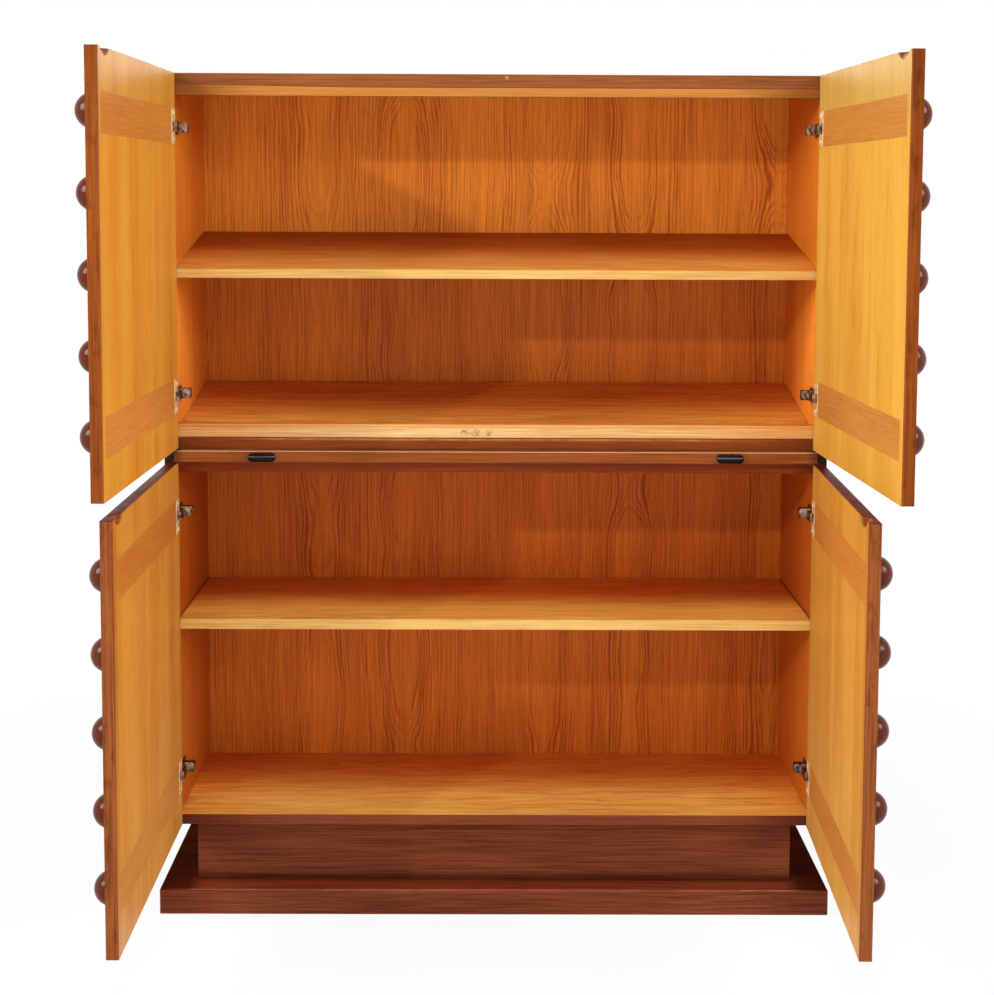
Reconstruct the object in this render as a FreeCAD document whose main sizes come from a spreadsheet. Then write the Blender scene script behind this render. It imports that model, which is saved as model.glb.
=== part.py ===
import FreeCAD, Part
import os
import Sketcher

# Two-storey oak drinks cabinet: four overlay doors studded with turned domes, sloping bottle
# boards in the upper half, a serving slide between the storeys and a plinth on a wide base slab.
# Millimetres. +X right, +Y towards the back, +Z up. The origin is the middle of the slab's underside.

doc = FreeCAD.newDocument("drinks_cabinet")
sheet = doc.addObject("Spreadsheet::Sheet", "Dims")

DRIVING_DIMENSIONS = {
    # Carcass boards
    "carcass_width": 1094,
    "carcass_depth": 356,
    "carcass_height": 1250,
    "side_thickness": 18,
    "top_thickness": 18,
    "top_rail_height": 18,
    "top_rail_depth": 18,
    "bottom_thickness": 17,
    "board_thickness": 18,
    "housing_depth": 6,
    "back_thickness": 6,
    "back_recess": 12,
    # Plinth
    "slab_thickness": 43,
    "slab_overhang": 14,
    "slab_round": 2,
    "riser_height": 107,
    "riser_inset": 57,
    "riser_front_inset": 50,
    "riser_thickness": 20,
    # Boards between the storeys
    "lower_top_height": 598,
    "slide_space": 20,
    # Sloping bottle boards and the level shelf
    "slope_angle": 9.6,
    "rail_depth": 18,
    "rail_height": 18,
    "rail_round": 4,
    "cap_height": 6,
    "cap_round": 2,
    "floor_thickness": 9,
    "floor_back_gap": 10,
    "bearer_thickness": 20,
    "upper_shelf_rise": 264,
    "upper_shelf_thickness": 15,
    "upper_shelf_back_gap": 13,
    "lower_shelf_rise": 316,
    "lower_shelf_thickness": 17,
    "lower_shelf_back_gap": 4,
    "shelf_front_gap": 3,
    "shelf_end_gap": 0.8,
    "shelf_pin_radius": 3,
    "shelf_pin_reach": 9,
    "shelf_pin_seat": 10,
    "shelf_pin_inset": 45,
    # Serving slide
    "slide_back_gap": 28,
    "slide_engagement": 70,
    "slide_end_gap": 1.5,
    "slide_lift": 0.3,
    "slide_top_gap": 1.7,
    "slide_front_depth": 24,
    "slide_front_lift": 1,
    "slide_front_drop": 0.5,
    "slide_front_round": 1.5,
    "stop_radius": 4,
    "stop_reach": 4.5,
    "stop_seat": 10,
    "stop_inset": 25,
    "stop_end_inset": 177.5,
    "stop_slot_gap": 0.5,
    "pull_length": 44,
    "pull_height": 14,
    "pull_depth": 15,
    "pull_round": 4,
    "pull_end_inset": 144.5,
    # Doors
    "door_thickness": 18,
    "lining_thickness": 2,
    "door_gap": 4,
    "door_reveal": 2,
    "door_middle_gap": 2,
    "band_height": 57,
    "band_hinge_margin": 3,
    "band_free_margin": 16,
    "scoop_radius": 52,
    "scoop_inset": 40,
    "scoop_rise": 33,
    "scoop_standoff": 27,
    "upper_left_angle": 90.8,
    "upper_right_angle": 92.3,
    "lower_left_angle": 89.6,
    "lower_right_angle": 87.7,
    # Turned domes on the doors
    "dome_radius": 25,
    "dome_side_margin": 50,
    "dome_end_margin": 84,
    "lower_right_dome_lift": 6,
    "spigot_radius": 5,
    "spigot_length": 8,
    # Hinges
    "hinge_inset": 87,
    "axis_inset": 10,
    "hinge_pin_radius": 2,
    "pin_seat_gap": 0.02,
    "pin_running_gap": 0.05,
    "knuckle_radius": 3,
    "arm_thickness": 2.4,
    "arm_height": 14,
    "neck_gap": 1.6,
    "arm_set_back": 14,
    "foot_length": 42,
    "foot_height": 22,
    "foot_screw_margin": 9,
    "arm_block_reach": 21,
    "arm_block_height": 16,
    "arm_block_gap": 0.6,
    "cup_wall": 1.2,
    "cup_floor": 0.8,
    "cup_skin": 1.7,
    "cup_swing_gap": 0.5,
    "cup_headroom": 2,
    "flange_near_lip": 1.3,
    "flange_far_lip": 1.1,
    "flange_thickness": 1.2,
    "screw_radius": 1.8,
    "screw_head_radius": 3.4,
    "screw_head_height": 1.6,
    "screw_length": 11,
    "screw_offset": 21,
    # Shared fits
    "fit_gap": 0.1,
}

DOME_COLUMNS = 5
DOME_ROWS = 5
DOORS = ("upper_left", "upper_right", "lower_left", "lower_right")
SAMPLE_ANGLE = 30
FULL_TURN = 360
SAME_PLACE = 0.01

for row, (alias, number) in enumerate(DRIVING_DIMENSIONS.items(), start=1):
    sheet.set(f"A{row}", alias)
    sheet.set(f"B{row}", str(number))
    sheet.setAlias(f"B{row}", alias)
doc.recompute()


def cell(alias):
    """Expression that reads one driving dimension."""
    return f"Dims.{alias}"


def size(alias):
    """Value of one driving dimension, for shapes that repeat a master piece."""
    return float(sheet.get(alias))


# Planes and heights shared by the pieces, as expressions
HALF_WIDTH = f"({cell('carcass_width')} / 2)"
INNER_HALF = f"({HALF_WIDTH} - {cell('side_thickness')})"
HOUSED_HALF = f"({INNER_HALF} + {cell('housing_depth')})"
FRONT = f"(-{cell('carcass_depth')} / 2)"
REAR = f"({cell('carcass_depth')} / 2)"
BACK_REAR = f"({REAR} - {cell('back_recess')})"
BACK_FACE = f"({BACK_REAR} - {cell('back_thickness')})"
CARCASS_FOOT = f"({cell('slab_thickness')} + {cell('riser_height')})"
CARCASS_TOP = f"({CARCASS_FOOT} + {cell('carcass_height')})"
TOP_UNDERSIDE = f"({CARCASS_TOP} - {cell('top_thickness')})"
BOTTOM_UPPER = f"({CARCASS_FOOT} + {cell('bottom_thickness')})"
LOWER_TOP_UNDER = f"({CARCASS_FOOT} + {cell('lower_top_height')})"
LOWER_TOP_UPPER = f"({LOWER_TOP_UNDER} + {cell('board_thickness')})"
MIDDLE_UNDER = f"({LOWER_TOP_UPPER} + {cell('slide_space')})"
MIDDLE_UPPER = f"({MIDDLE_UNDER} + {cell('board_thickness')})"
BACK_JOINT = f"(({LOWER_TOP_UPPER} + {MIDDLE_UNDER}) / 2)"
SHELF_HALF = f"({INNER_HALF} - {cell('shelf_end_gap')})"
SHELF_FRONT = f"({FRONT} + {cell('shelf_front_gap')})"
LEVEL_SHELF_UNDER = f"({BOTTOM_UPPER} + {cell('lower_shelf_rise')})"
LEVEL_SHELF_REAR = f"({BACK_FACE} - {cell('lower_shelf_back_gap')})"
SLOPED_SHELF_UNDER = f"({MIDDLE_UPPER} + {cell('upper_shelf_rise')})"
SLOPED_SHELF_REAR = f"({BACK_FACE} - {cell('upper_shelf_back_gap')})"
SLIDE_HALF = f"({INNER_HALF} - {cell('slide_end_gap')})"
SLIDE_REAR = f"({BACK_FACE} - {cell('slide_back_gap')})"
SLIDE_TRAVEL = f"({SLIDE_REAR} - {FRONT} - {cell('slide_engagement')})"
SLIDE_FRONT_LOW = f"({LOWER_TOP_UPPER} + {cell('slide_front_lift')})"
SLIDE_FRONT_TOP = f"({MIDDLE_UNDER} - {cell('slide_front_drop')})"
SLOPE = cell("slope_angle")
LOWER_DOOR_FOOT = f"({CARCASS_FOOT} + {cell('door_reveal')})"
LOWER_DOOR_HEIGHT = f"({LOWER_TOP_UPPER} - {cell('door_reveal')} - {LOWER_DOOR_FOOT})"
UPPER_DOOR_FOOT = f"({MIDDLE_UNDER} + {cell('door_reveal')})"
UPPER_DOOR_HEIGHT = f"({CARCASS_TOP} - {UPPER_DOOR_FOOT})"
DOOR_WIDTH = f"({HALF_WIDTH} - {cell('door_reveal')} - {cell('door_middle_gap')} / 2)"

# Hinge axis, measured from the carcass and, within a door, from the axis itself
AXIS_X = f"({HALF_WIDTH} - {cell('door_reveal')} - {cell('axis_inset')})"
CUP_BEHIND_AXIS = f"({cell('knuckle_radius')} + {cell('cup_swing_gap')})"
AXIS_DEPTH = f"({cell('door_thickness')} - {cell('cup_skin')} - {cell('cup_floor')} - {CUP_BEHIND_AXIS})"
AXIS_Y = f"({FRONT} - {cell('door_gap')} - {AXIS_DEPTH})"
HINGE_EDGE = f"(-{cell('axis_inset')})"
FREE_EDGE = f"({DOOR_WIDTH} - {cell('axis_inset')})"
INNER_FACE = AXIS_DEPTH
PANEL_FACE = f"({AXIS_DEPTH} - {cell('lining_thickness')})"
OUTER_FACE = f"({AXIS_DEPTH} - {cell('door_thickness')})"
ARM_HALF = f"({cell('arm_thickness')} / 2)"
ARM_REACH = f"({AXIS_DEPTH} + {cell('flange_thickness')} + {cell('neck_gap')} + {ARM_HALF})"
CAVITY_NEAR = f"(-{CUP_BEHIND_AXIS})"
CAVITY_FAR = f"({ARM_REACH} + {ARM_HALF} + {cell('cup_swing_gap')})"
CAVITY_FLOOR = f"(-{CUP_BEHIND_AXIS})"
CAVITY_HALF = f"({cell('arm_height')} / 2 + {cell('cup_headroom')})"
CUP_NEAR = f"({CAVITY_NEAR} - {cell('cup_wall')})"
CUP_FAR = f"({CAVITY_FAR} + {cell('cup_wall')})"
CUP_FLOOR = f"({CAVITY_FLOOR} - {cell('cup_floor')})"
CUP_HALF = f"({CAVITY_HALF} + {cell('cup_wall')})"
FLANGE_NEAR = f"({CUP_NEAR} - {cell('flange_near_lip')})"
FLANGE_FAR = f"({CUP_FAR} + {cell('flange_far_lip')})"
FLANGE_MIDDLE = f"(({FLANGE_NEAR} + {FLANGE_FAR}) / 2)"
FLANGE_FACE = f"({INNER_FACE} + {cell('flange_thickness')})"
SCREW_HOLE = f"({cell('screw_radius')} + {cell('fit_gap')} / 2)"

subparts = []


def handed(low, high, left):
    """A span given for the right-hand side, mirrored for the left-hand side."""
    if left:
        return f"-({high})", f"-({low})"
    return low, high


def box(name, span_x, span_y, span_z):
    """A block between two expressions along each axis."""
    block = doc.addObject("Part::Box", name)
    edges = (("Length", "x", span_x), ("Width", "y", span_y), ("Height", "z", span_z))
    for side, axis, (low, high) in edges:
        block.setExpression(side, f"({high}) - ({low})")
        block.setExpression(f"Placement.Base.{axis}", low)
    return block


def rod(name, radius, start, length, direction):
    """A cylinder of an expression's radius and length, from a point along a unit direction."""
    cylinder = doc.addObject("Part::Cylinder", name)
    turn = FreeCAD.Rotation(FreeCAD.Vector(0, 0, 1), FreeCAD.Vector(*direction))
    cylinder.Placement = FreeCAD.Placement(FreeCAD.Vector(), turn)
    cylinder.setExpression("Radius", radius)
    cylinder.setExpression("Height", length)
    for axis, place in zip("xyz", start):
        cylinder.setExpression(f"Placement.Base.{axis}", place)
    return cylinder


def fuse(name, pieces):
    """One object of several blocks."""
    joined = doc.addObject("Part::MultiFuse", name)
    joined.Shapes = pieces
    return joined


def cut(name, base, tools):
    """A block with one or more others taken out of it."""
    result = doc.addObject("Part::Cut", name)
    result.Base = base
    result.Tool = tools[0] if len(tools) == 1 else fuse(name + "_tools", tools)
    return result


def keep(label, piece):
    """Names a finished piece and puts it on the list of pieces to write."""
    piece.Label = label
    subparts.append(piece)
    return piece


def rounded_block(label, span_x, span_y, span_z, wanted, radius):
    """A block whose wanted edges are rounded over."""
    body = doc.addObject("PartDesign::Body", label + "_body")
    block = body.newObject("PartDesign::AdditiveBox", label + "_block")
    edges = (("Length", "x", span_x), ("Width", "y", span_y), ("Height", "z", span_z))
    for side, axis, (low, high) in edges:
        block.setExpression(side, f"({high}) - ({low})")
        body.setExpression(f"Placement.Base.{axis}", low)
    doc.recompute()
    fillet = body.newObject("PartDesign::Fillet", label + "_round")
    fillet.Base = (block, picked_edges(block, wanted))
    fillet.setExpression("Radius", radius)
    return keep(label, body)


def origin_plane(body, role):
    """One of a body's own base planes."""
    return next(plane for plane in body.Origin.OriginFeatures if plane.Role == role)


def top_rim(middle, bounds):
    """Whether an edge lies round a block's upper face."""
    return abs(middle.z - bounds.ZMax) < SAME_PLACE


def front_lower_edge(middle, bounds):
    """Whether an edge is the lower one of a block's front face."""
    return abs(middle.y - bounds.YMin) < SAME_PLACE and abs(middle.z - bounds.ZMin) < SAME_PLACE


def front_upper_edge(middle, bounds):
    """Whether an edge is the upper one of a block's front face."""
    return abs(middle.y - bounds.YMin) < SAME_PLACE and abs(middle.z - bounds.ZMax) < SAME_PLACE


def front_long_edges(middle, bounds):
    """Whether an edge is one of the two long ones of a block's front face."""
    return front_lower_edge(middle, bounds) or front_upper_edge(middle, bounds)


def front_rim(middle, bounds):
    """Whether an edge lies round a piece's front face."""
    return abs(middle.y - bounds.YMin) < SAME_PLACE


def picked_edges(feature, wanted):
    """Names of the feature's edges whose middle point passes a test."""
    bounds = feature.Shape.BoundBox
    numbered = enumerate(feature.Shape.Edges, start=1)
    return [f"Edge{number}" for number, edge in numbered if wanted(edge.CenterOfMass, bounds)]


def build_plinth():
    """Base slab and the four boards of the recessed riser."""
    over = cell("slab_overhang")
    slab_x = f"({HALF_WIDTH} + {over})"
    slab_front = f"({FRONT} - {over})"
    slab_rear = f"({REAR} + {over})"
    slab_z = ("0", cell("slab_thickness"))
    rounded_block("base_slab", (f"-{slab_x}", slab_x), (slab_front, slab_rear), slab_z, top_rim,
                  cell("slab_round"))
    riser_x = f"({slab_x} - {cell('riser_inset')})"
    riser_front = f"({slab_front} + {cell('riser_front_inset')})"
    riser_rear = f"({slab_rear} - {cell('riser_inset')})"
    thick = cell("riser_thickness")
    riser_z = (cell("slab_thickness"), CARCASS_FOOT)
    full_x = (f"-{riser_x}", riser_x)
    keep("riser_front", box("riser_front", full_x, (riser_front, f"{riser_front} + {thick}"), riser_z))
    keep("riser_back", box("riser_back", full_x, (f"{riser_rear} - {thick}", riser_rear), riser_z))
    between_y = (f"{riser_front} + {thick}", f"{riser_rear} - {thick}")
    for label, left in (("riser_left", True), ("riser_right", False)):
        keep(label, box(label, handed(f"{riser_x} - {thick}", riser_x, left), between_y, riser_z))


def shelf_pin_places():
    """Front and rear pins under each shelf: name, depth and height of the pin's middle."""
    radius = cell("shelf_pin_radius")
    inset = cell("shelf_pin_inset")
    places = []
    front = f"({SHELF_FRONT} + {inset})"
    for name, depth in (("front", front), ("rear", f"({LEVEL_SHELF_REAR} - {inset})")):
        places.append(("lower", name, depth, f"({LEVEL_SHELF_UNDER} - {radius})"))
    for name, depth in (("front", front), ("rear", f"({SLOPED_SHELF_REAR} - {inset})")):
        rise = f"(({depth} - {SHELF_FRONT}) * tan({SLOPE}))"
        places.append(("upper", name, depth, f"({SLOPED_SHELF_UNDER} + {rise} - {radius} / cos({SLOPE}))"))
    return places


def door_foot(door):
    """Height of a door's lower edge above the floor."""
    return UPPER_DOOR_FOOT if door.startswith("upper") else LOWER_DOOR_FOOT


def door_height(door):
    """Height of a door."""
    return UPPER_DOOR_HEIGHT if door.startswith("upper") else LOWER_DOOR_HEIGHT


def hinge_levels(door):
    """Heights of the two hinges above a door's foot."""
    return {"low": cell("hinge_inset"), "high": f"({door_height(door)} - {cell('hinge_inset')})"}


def foot_screw_depths():
    """Depths of the two screws in a hinge arm's foot."""
    near = f"({FRONT} + {cell('arm_set_back')} + {cell('foot_screw_margin')})"
    far = f"({FRONT} + {cell('arm_set_back')} + {cell('foot_length')} - {cell('foot_screw_margin')})"
    return near, far


def build_side(label, left):
    """Side board with housings for the boards, a groove for the back and holes for pins and screws."""
    z_span = (CARCASS_FOOT, TOP_UNDERSIDE)
    board = box(label + "_board", handed(INNER_HALF, HALF_WIDTH, left), (FRONT, REAR), z_span)
    housing = handed(INNER_HALF, HOUSED_HALF, left)
    tools = [box(label + "_back_groove", housing, (BACK_FACE, BACK_REAR), z_span)]
    housed = (
        ("bottom", CARCASS_FOOT, BOTTOM_UPPER),
        ("lower_top", LOWER_TOP_UNDER, LOWER_TOP_UPPER),
        ("middle", MIDDLE_UNDER, MIDDLE_UPPER),
    )
    for name, low, high in housed:
        tools.append(box(f"{label}_{name}_housing", housing, (FRONT, BACK_FACE), (low, high)))
    outward = (-1, 0, 0) if left else (1, 0, 0)
    face = f"-{INNER_HALF}" if left else INNER_HALF
    pin_hole = f"({cell('shelf_pin_radius')} + {cell('fit_gap')} / 2)"
    for storey, place, depth, height in shelf_pin_places():
        name = f"{label}_{storey}_{place}_pin_hole"
        tools.append(rod(name, pin_hole, (face, depth, height), cell("shelf_pin_seat"), outward))
    for door in DOORS:
        if door.endswith("left") != left:
            continue
        for end, level in hinge_levels(door).items():
            for number, depth in enumerate(foot_screw_depths()):
                name = f"{label}_{door}_{end}_screw_hole_{number}"
                place = (face, depth, f"{door_foot(door)} + {level}")
                tools.append(rod(name, SCREW_HOLE, place, cell("screw_length"), outward))
    keep(label, cut(label, board, tools))


def build_carcass():
    """Sides, top with the rail under its front edge, the housed boards and the two back panels."""
    build_side("left_side", True)
    build_side("right_side", False)
    full_x = (f"-{HALF_WIDTH}", HALF_WIDTH)
    housed_x = (f"-{HOUSED_HALF}", HOUSED_HALF)
    top_board = box("top_board", full_x, (FRONT, REAR), (TOP_UNDERSIDE, CARCASS_TOP))
    tongue_top = f"({TOP_UNDERSIDE} + {cell('housing_depth')})"
    groove = box("top_back_groove", housed_x, (BACK_FACE, BACK_REAR), (TOP_UNDERSIDE, tongue_top))
    keep("top_panel", cut("top_panel", top_board, [groove]))
    rail_y = (FRONT, f"{FRONT} + {cell('top_rail_depth')}")
    rail_z = (f"{TOP_UNDERSIDE} - {cell('top_rail_height')}", TOP_UNDERSIDE)
    keep("top_rail", box("top_rail", (f"-{INNER_HALF}", INNER_HALF), rail_y, rail_z))
    to_back = (FRONT, BACK_FACE)
    keep("bottom_board", box("bottom_board", housed_x, to_back, (CARCASS_FOOT, BOTTOM_UPPER)))
    keep("middle_board", box("middle_board", housed_x, to_back, (MIDDLE_UNDER, MIDDLE_UPPER)))
    lower_top = box("lower_top_blank", housed_x, to_back, (LOWER_TOP_UNDER, LOWER_TOP_UPPER))
    keep("lower_top_board", cut("lower_top_board", lower_top, stop_slots()))
    back_y = (BACK_FACE, BACK_REAR)
    keep("upper_back_panel", box("upper_back_panel", housed_x, back_y, (BACK_JOINT, tongue_top)))
    keep("lower_back_panel", box("lower_back_panel", housed_x, back_y, (CARCASS_FOOT, BACK_JOINT)))


def sloped_board(name, half_width, pivot, thickness, length):
    """A board hinged up about its lower front edge by the bottle slope."""
    board = doc.addObject("Part::Box", name)
    turn = FreeCAD.Rotation(FreeCAD.Vector(1, 0, 0), SAMPLE_ANGLE)
    board.Placement = FreeCAD.Placement(FreeCAD.Vector(), turn)
    board.setExpression("Placement.Rotation.Angle", SLOPE)
    board.setExpression("Placement.Base.x", f"-({half_width})")
    board.setExpression("Placement.Base.y", pivot[0])
    board.setExpression("Placement.Base.z", pivot[1])
    board.setExpression("Length", f"2 * ({half_width})")
    board.setExpression("Width", length)
    board.setExpression("Height", thickness)
    return board


def build_bottle_floor():
    """Front rail with its cap, the sloping floor behind it and the bearer under the floor's back."""
    inner_x = (f"-{INNER_HALF}", INNER_HALF)
    rail_y = (FRONT, f"{FRONT} + {cell('rail_depth')}")
    rail_top = f"({MIDDLE_UPPER} + {cell('rail_height')})"
    rounded_block("bottle_rail", inner_x, rail_y, (MIDDLE_UPPER, rail_top), front_lower_edge,
                  cell("rail_round"))
    cap_z = (rail_top, f"{rail_top} + {cell('cap_height')}")
    rounded_block("bottle_rail_cap", inner_x, rail_y, cap_z, front_upper_edge, cell("cap_round"))
    thick = cell("floor_thickness")
    lean = f"({thick} * sin({SLOPE}))"
    pivot_y = f"({FRONT} + {cell('rail_depth')} + {lean})"
    floor_rear = f"({BACK_FACE} - {cell('floor_back_gap')})"
    floor_length = f"(({floor_rear} - {pivot_y}) / cos({SLOPE}))"
    keep("sloping_floor",
         sloped_board("sloping_floor", SHELF_HALF, (pivot_y, MIDDLE_UPPER), thick, floor_length))
    bearer_y = (f"{floor_rear} - {cell('bearer_thickness')}", floor_rear)
    bearer_top = f"({MIDDLE_UPPER} + ({floor_rear} - {pivot_y}) * tan({SLOPE}))"
    shelf_x = (f"-{SHELF_HALF}", SHELF_HALF)
    blank = box("floor_bearer_blank", shelf_x, bearer_y, (MIDDLE_UPPER, bearer_top))
    clear_length = f"({floor_length} + {cell('bearer_thickness')})"
    under_floor = sloped_board("floor_bearer_bevel", HALF_WIDTH, (pivot_y, MIDDLE_UPPER),
                               cell("bearer_thickness"), clear_length)
    keep("floor_bearer", cut("floor_bearer", blank, [under_floor]))


def build_shelves():
    """Level lower shelf, sloping upper shelf and the pins that carry them."""
    level_y = (SHELF_FRONT, LEVEL_SHELF_REAR)
    level_z = (LEVEL_SHELF_UNDER, f"{LEVEL_SHELF_UNDER} + {cell('lower_shelf_thickness')}")
    keep("lower_shelf", box("lower_shelf", (f"-{SHELF_HALF}", SHELF_HALF), level_y, level_z))
    pivot = (SHELF_FRONT, SLOPED_SHELF_UNDER)
    length = f"(({SLOPED_SHELF_REAR} - {SHELF_FRONT}) / cos({SLOPE}))"
    thick = cell("upper_shelf_thickness")
    keep("upper_shelf", sloped_board("upper_shelf", SHELF_HALF, pivot, thick, length))
    pins = {"lower": [], "upper": []}
    for storey, place, depth, height in shelf_pin_places():
        for hand, left in (("left", True), ("right", False)):
            inner_end = f"({INNER_HALF} - {cell('shelf_pin_reach')})"
            start_x = f"-{inner_end}" if left else inner_end
            outward = (-1, 0, 0) if left else (1, 0, 0)
            length = f"{cell('shelf_pin_reach')} + {cell('shelf_pin_seat')}"
            name = f"{storey}_{place}_{hand}_shelf_pin"
            start = (start_x, depth, height)
            pins[storey].append(rod(name, cell("shelf_pin_radius"), start, length, outward))
    for storey, rods in pins.items():
        keep(f"{storey}_shelf_pins", fuse(f"{storey}_shelf_pins", rods))


def stop_places():
    """Depth and the two widthwise places of the slide's stop pegs, with the slide pushed in."""
    depth = f"({SLIDE_REAR} - {cell('stop_inset')})"
    across = f"({SLIDE_HALF} - {cell('stop_end_inset')})"
    return depth, (f"(-{across})", across)


def stop_slots():
    """Stopped grooves in which the slide's pegs run."""
    depth, places = stop_places()
    reach = f"({cell('stop_radius')} + {cell('stop_slot_gap')})"
    floor = f"({LOWER_TOP_UPPER} - {cell('stop_reach')} - {cell('stop_slot_gap')})"
    span_y = (f"{depth} - {SLIDE_TRAVEL} - {reach}", f"{depth} + {reach}")
    slots = []
    for number, place in enumerate(places):
        span_x = (f"{place} - {reach}", f"{place} + {reach}")
        slots.append(box(f"stop_slot_{number}", span_x, span_y, (floor, LOWER_TOP_UPPER)))
    return slots


def build_pull(label, place):
    """Pill-shaped pull: a slot outline padded forward, with its front edge rounded over."""
    body = doc.addObject("PartDesign::Body", label + "_body")
    outline = body.newObject("Sketcher::SketchObject", label + "_outline")
    outline.AttachmentSupport = (origin_plane(body, "XZ_Plane"), [""])
    outline.MapMode = "FlatFace"
    half_run = size("pull_length") / 2 - size("pull_height") / 2
    radius = size("pull_height") / 2
    corner = FreeCAD.Vector
    up = corner(0, 0, 1)
    quarter = FreeCAD.Units.Quantity("90 deg").getValueAs("rad").Value
    right_arc = Part.ArcOfCircle(Part.Circle(corner(half_run, 0, 0), up, radius), -quarter, quarter)
    left_arc = Part.ArcOfCircle(Part.Circle(corner(-half_run, 0, 0), up, radius), quarter, 3 * quarter)
    top_line = Part.LineSegment(corner(half_run, radius, 0), corner(-half_run, radius, 0))
    low_line = Part.LineSegment(corner(-half_run, -radius, 0), corner(half_run, -radius, 0))
    outline.addGeometry([right_arc, top_line, left_arc, low_line], False)
    joint = Sketcher.Constraint
    outline.addConstraint([
        joint("Tangent", 0, 2, 1, 1),
        joint("Tangent", 1, 2, 2, 1),
        joint("Tangent", 2, 2, 3, 1),
        joint("Tangent", 3, 2, 0, 1),
        joint("Symmetric", 0, 3, 2, 3, -1, 1),
        joint("PointOnObject", 0, 3, -1),
    ])
    run = outline.addConstraint(joint("DistanceX", 2, 3, 0, 3, 2 * half_run))
    bend = outline.addConstraint(joint("Radius", 0, radius))
    outline.setExpression(f"Constraints[{run}]", f"{cell('pull_length')} - {cell('pull_height')}")
    outline.setExpression(f"Constraints[{bend}]", f"{cell('pull_height')} / 2")
    pad = body.newObject("PartDesign::Pad", label + "_pad")
    pad.Profile = outline
    pad.setExpression("Length", cell("pull_depth"))
    doc.recompute()
    fillet = body.newObject("PartDesign::Fillet", label + "_rounding")
    fillet.Base = (pad, picked_edges(pad, front_rim))
    fillet.setExpression("Radius", cell("pull_round"))
    body.setExpression("Placement.Base.x", place)
    body.setExpression("Placement.Base.y", f"{FRONT} - {cell('slide_front_depth')}")
    body.setExpression("Placement.Base.z", f"({SLIDE_FRONT_LOW} + {SLIDE_FRONT_TOP}) / 2")
    keep(label, body)


def build_slide():
    """Pull-out serving board with its front, two pulls and two stop pegs."""
    board_z = f"({LOWER_TOP_UPPER} + {cell('slide_lift')})"
    board_top = f"({MIDDLE_UNDER} - {cell('slide_top_gap')})"
    blank = box("slide_blank", (f"-{SLIDE_HALF}", SLIDE_HALF), (FRONT, SLIDE_REAR), (board_z, board_top))
    depth, places = stop_places()
    hole = f"({cell('stop_radius')} + {cell('fit_gap')} / 2)"
    holes = []
    pegs = []
    for number, place in enumerate(places):
        seat = (place, depth, board_z)
        holes.append(rod(f"stop_hole_{number}", hole, seat, cell("stop_seat"), (0, 0, 1)))
        foot = (place, depth, f"{LOWER_TOP_UPPER} - {cell('stop_reach')}")
        peg_length = f"{cell('stop_reach')} + {cell('slide_lift')} + {cell('stop_seat')}"
        pegs.append(rod(f"stop_peg_{number}", cell("stop_radius"), foot, peg_length, (0, 0, 1)))
    keep("slide_board", cut("slide_board", blank, holes))
    keep("slide_stops", fuse("slide_stops", pegs))
    front_y = (f"{FRONT} - {cell('slide_front_depth')}", FRONT)
    front_z = (SLIDE_FRONT_LOW, SLIDE_FRONT_TOP)
    rounded_block("slide_front", (f"-{SLIDE_HALF}", SLIDE_HALF), front_y, front_z, front_long_edges,
                  cell("slide_front_round"))
    across = f"({SLIDE_HALF} - {cell('pull_end_inset')})"
    build_pull("left_pull", f"-{across}")
    build_pull("right_pull", across)


def dome_master():
    """Turned dome with its spigot, its flat on the XY plane and its axis along Z."""
    body = doc.addObject("PartDesign::Body", "dome_master")
    profile = body.newObject("Sketcher::SketchObject", "dome_profile")
    profile.AttachmentSupport = (origin_plane(body, "XZ_Plane"), [""])
    profile.MapMode = "FlatFace"
    radius = size("dome_radius")
    peg = size("spigot_radius")
    drop = size("spigot_length")
    corner = FreeCAD.Vector
    quarter = FreeCAD.Units.Quantity("90 deg").getValueAs("rad").Value
    crown = Part.ArcOfCircle(Part.Circle(corner(0, 0, 0), corner(0, 0, 1), radius), 0, quarter)
    outline = [
        crown,
        Part.LineSegment(corner(0, radius, 0), corner(0, -drop, 0)),
        Part.LineSegment(corner(0, -drop, 0), corner(peg, -drop, 0)),
        Part.LineSegment(corner(peg, -drop, 0), corner(peg, 0, 0)),
        Part.LineSegment(corner(peg, 0, 0), corner(radius, 0, 0)),
    ]
    profile.addGeometry(outline, False)
    joint = Sketcher.Constraint
    profile.addConstraint([
        joint("Coincident", 0, 3, -1, 1),
        joint("Coincident", 0, 2, 1, 1),
        joint("Coincident", 1, 2, 2, 1),
        joint("Coincident", 2, 2, 3, 1),
        joint("Coincident", 3, 2, 4, 1),
        joint("Coincident", 4, 2, 0, 1),
        joint("PointOnObject", 1, 1, -2),
        joint("PointOnObject", 1, 2, -2),
        joint("Horizontal", 2),
        joint("Vertical", 3),
        joint("PointOnObject", 3, 2, -1),
        joint("PointOnObject", 0, 1, -1),
    ])
    round_size = profile.addConstraint(joint("Radius", 0, radius))
    peg_size = profile.addConstraint(joint("DistanceX", -1, 1, 3, 2, peg))
    drop_size = profile.addConstraint(joint("DistanceY", 3, 1, 3, 2, drop))
    profile.setExpression(f"Constraints[{round_size}]", cell("dome_radius"))
    profile.setExpression(f"Constraints[{peg_size}]", cell("spigot_radius"))
    profile.setExpression(f"Constraints[{drop_size}]", cell("spigot_length"))
    turning = body.newObject("PartDesign::Revolution", "dome_turning")
    turning.Profile = profile
    turning.ReferenceAxis = (profile, ["V_Axis"])
    turning.Angle = FULL_TURN
    doc.recompute()
    return body


def dome_lift(door):
    """How far a door's domes sit above the middle of the door."""
    return size("lower_right_dome_lift") if door == "lower_right" else 0


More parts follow.
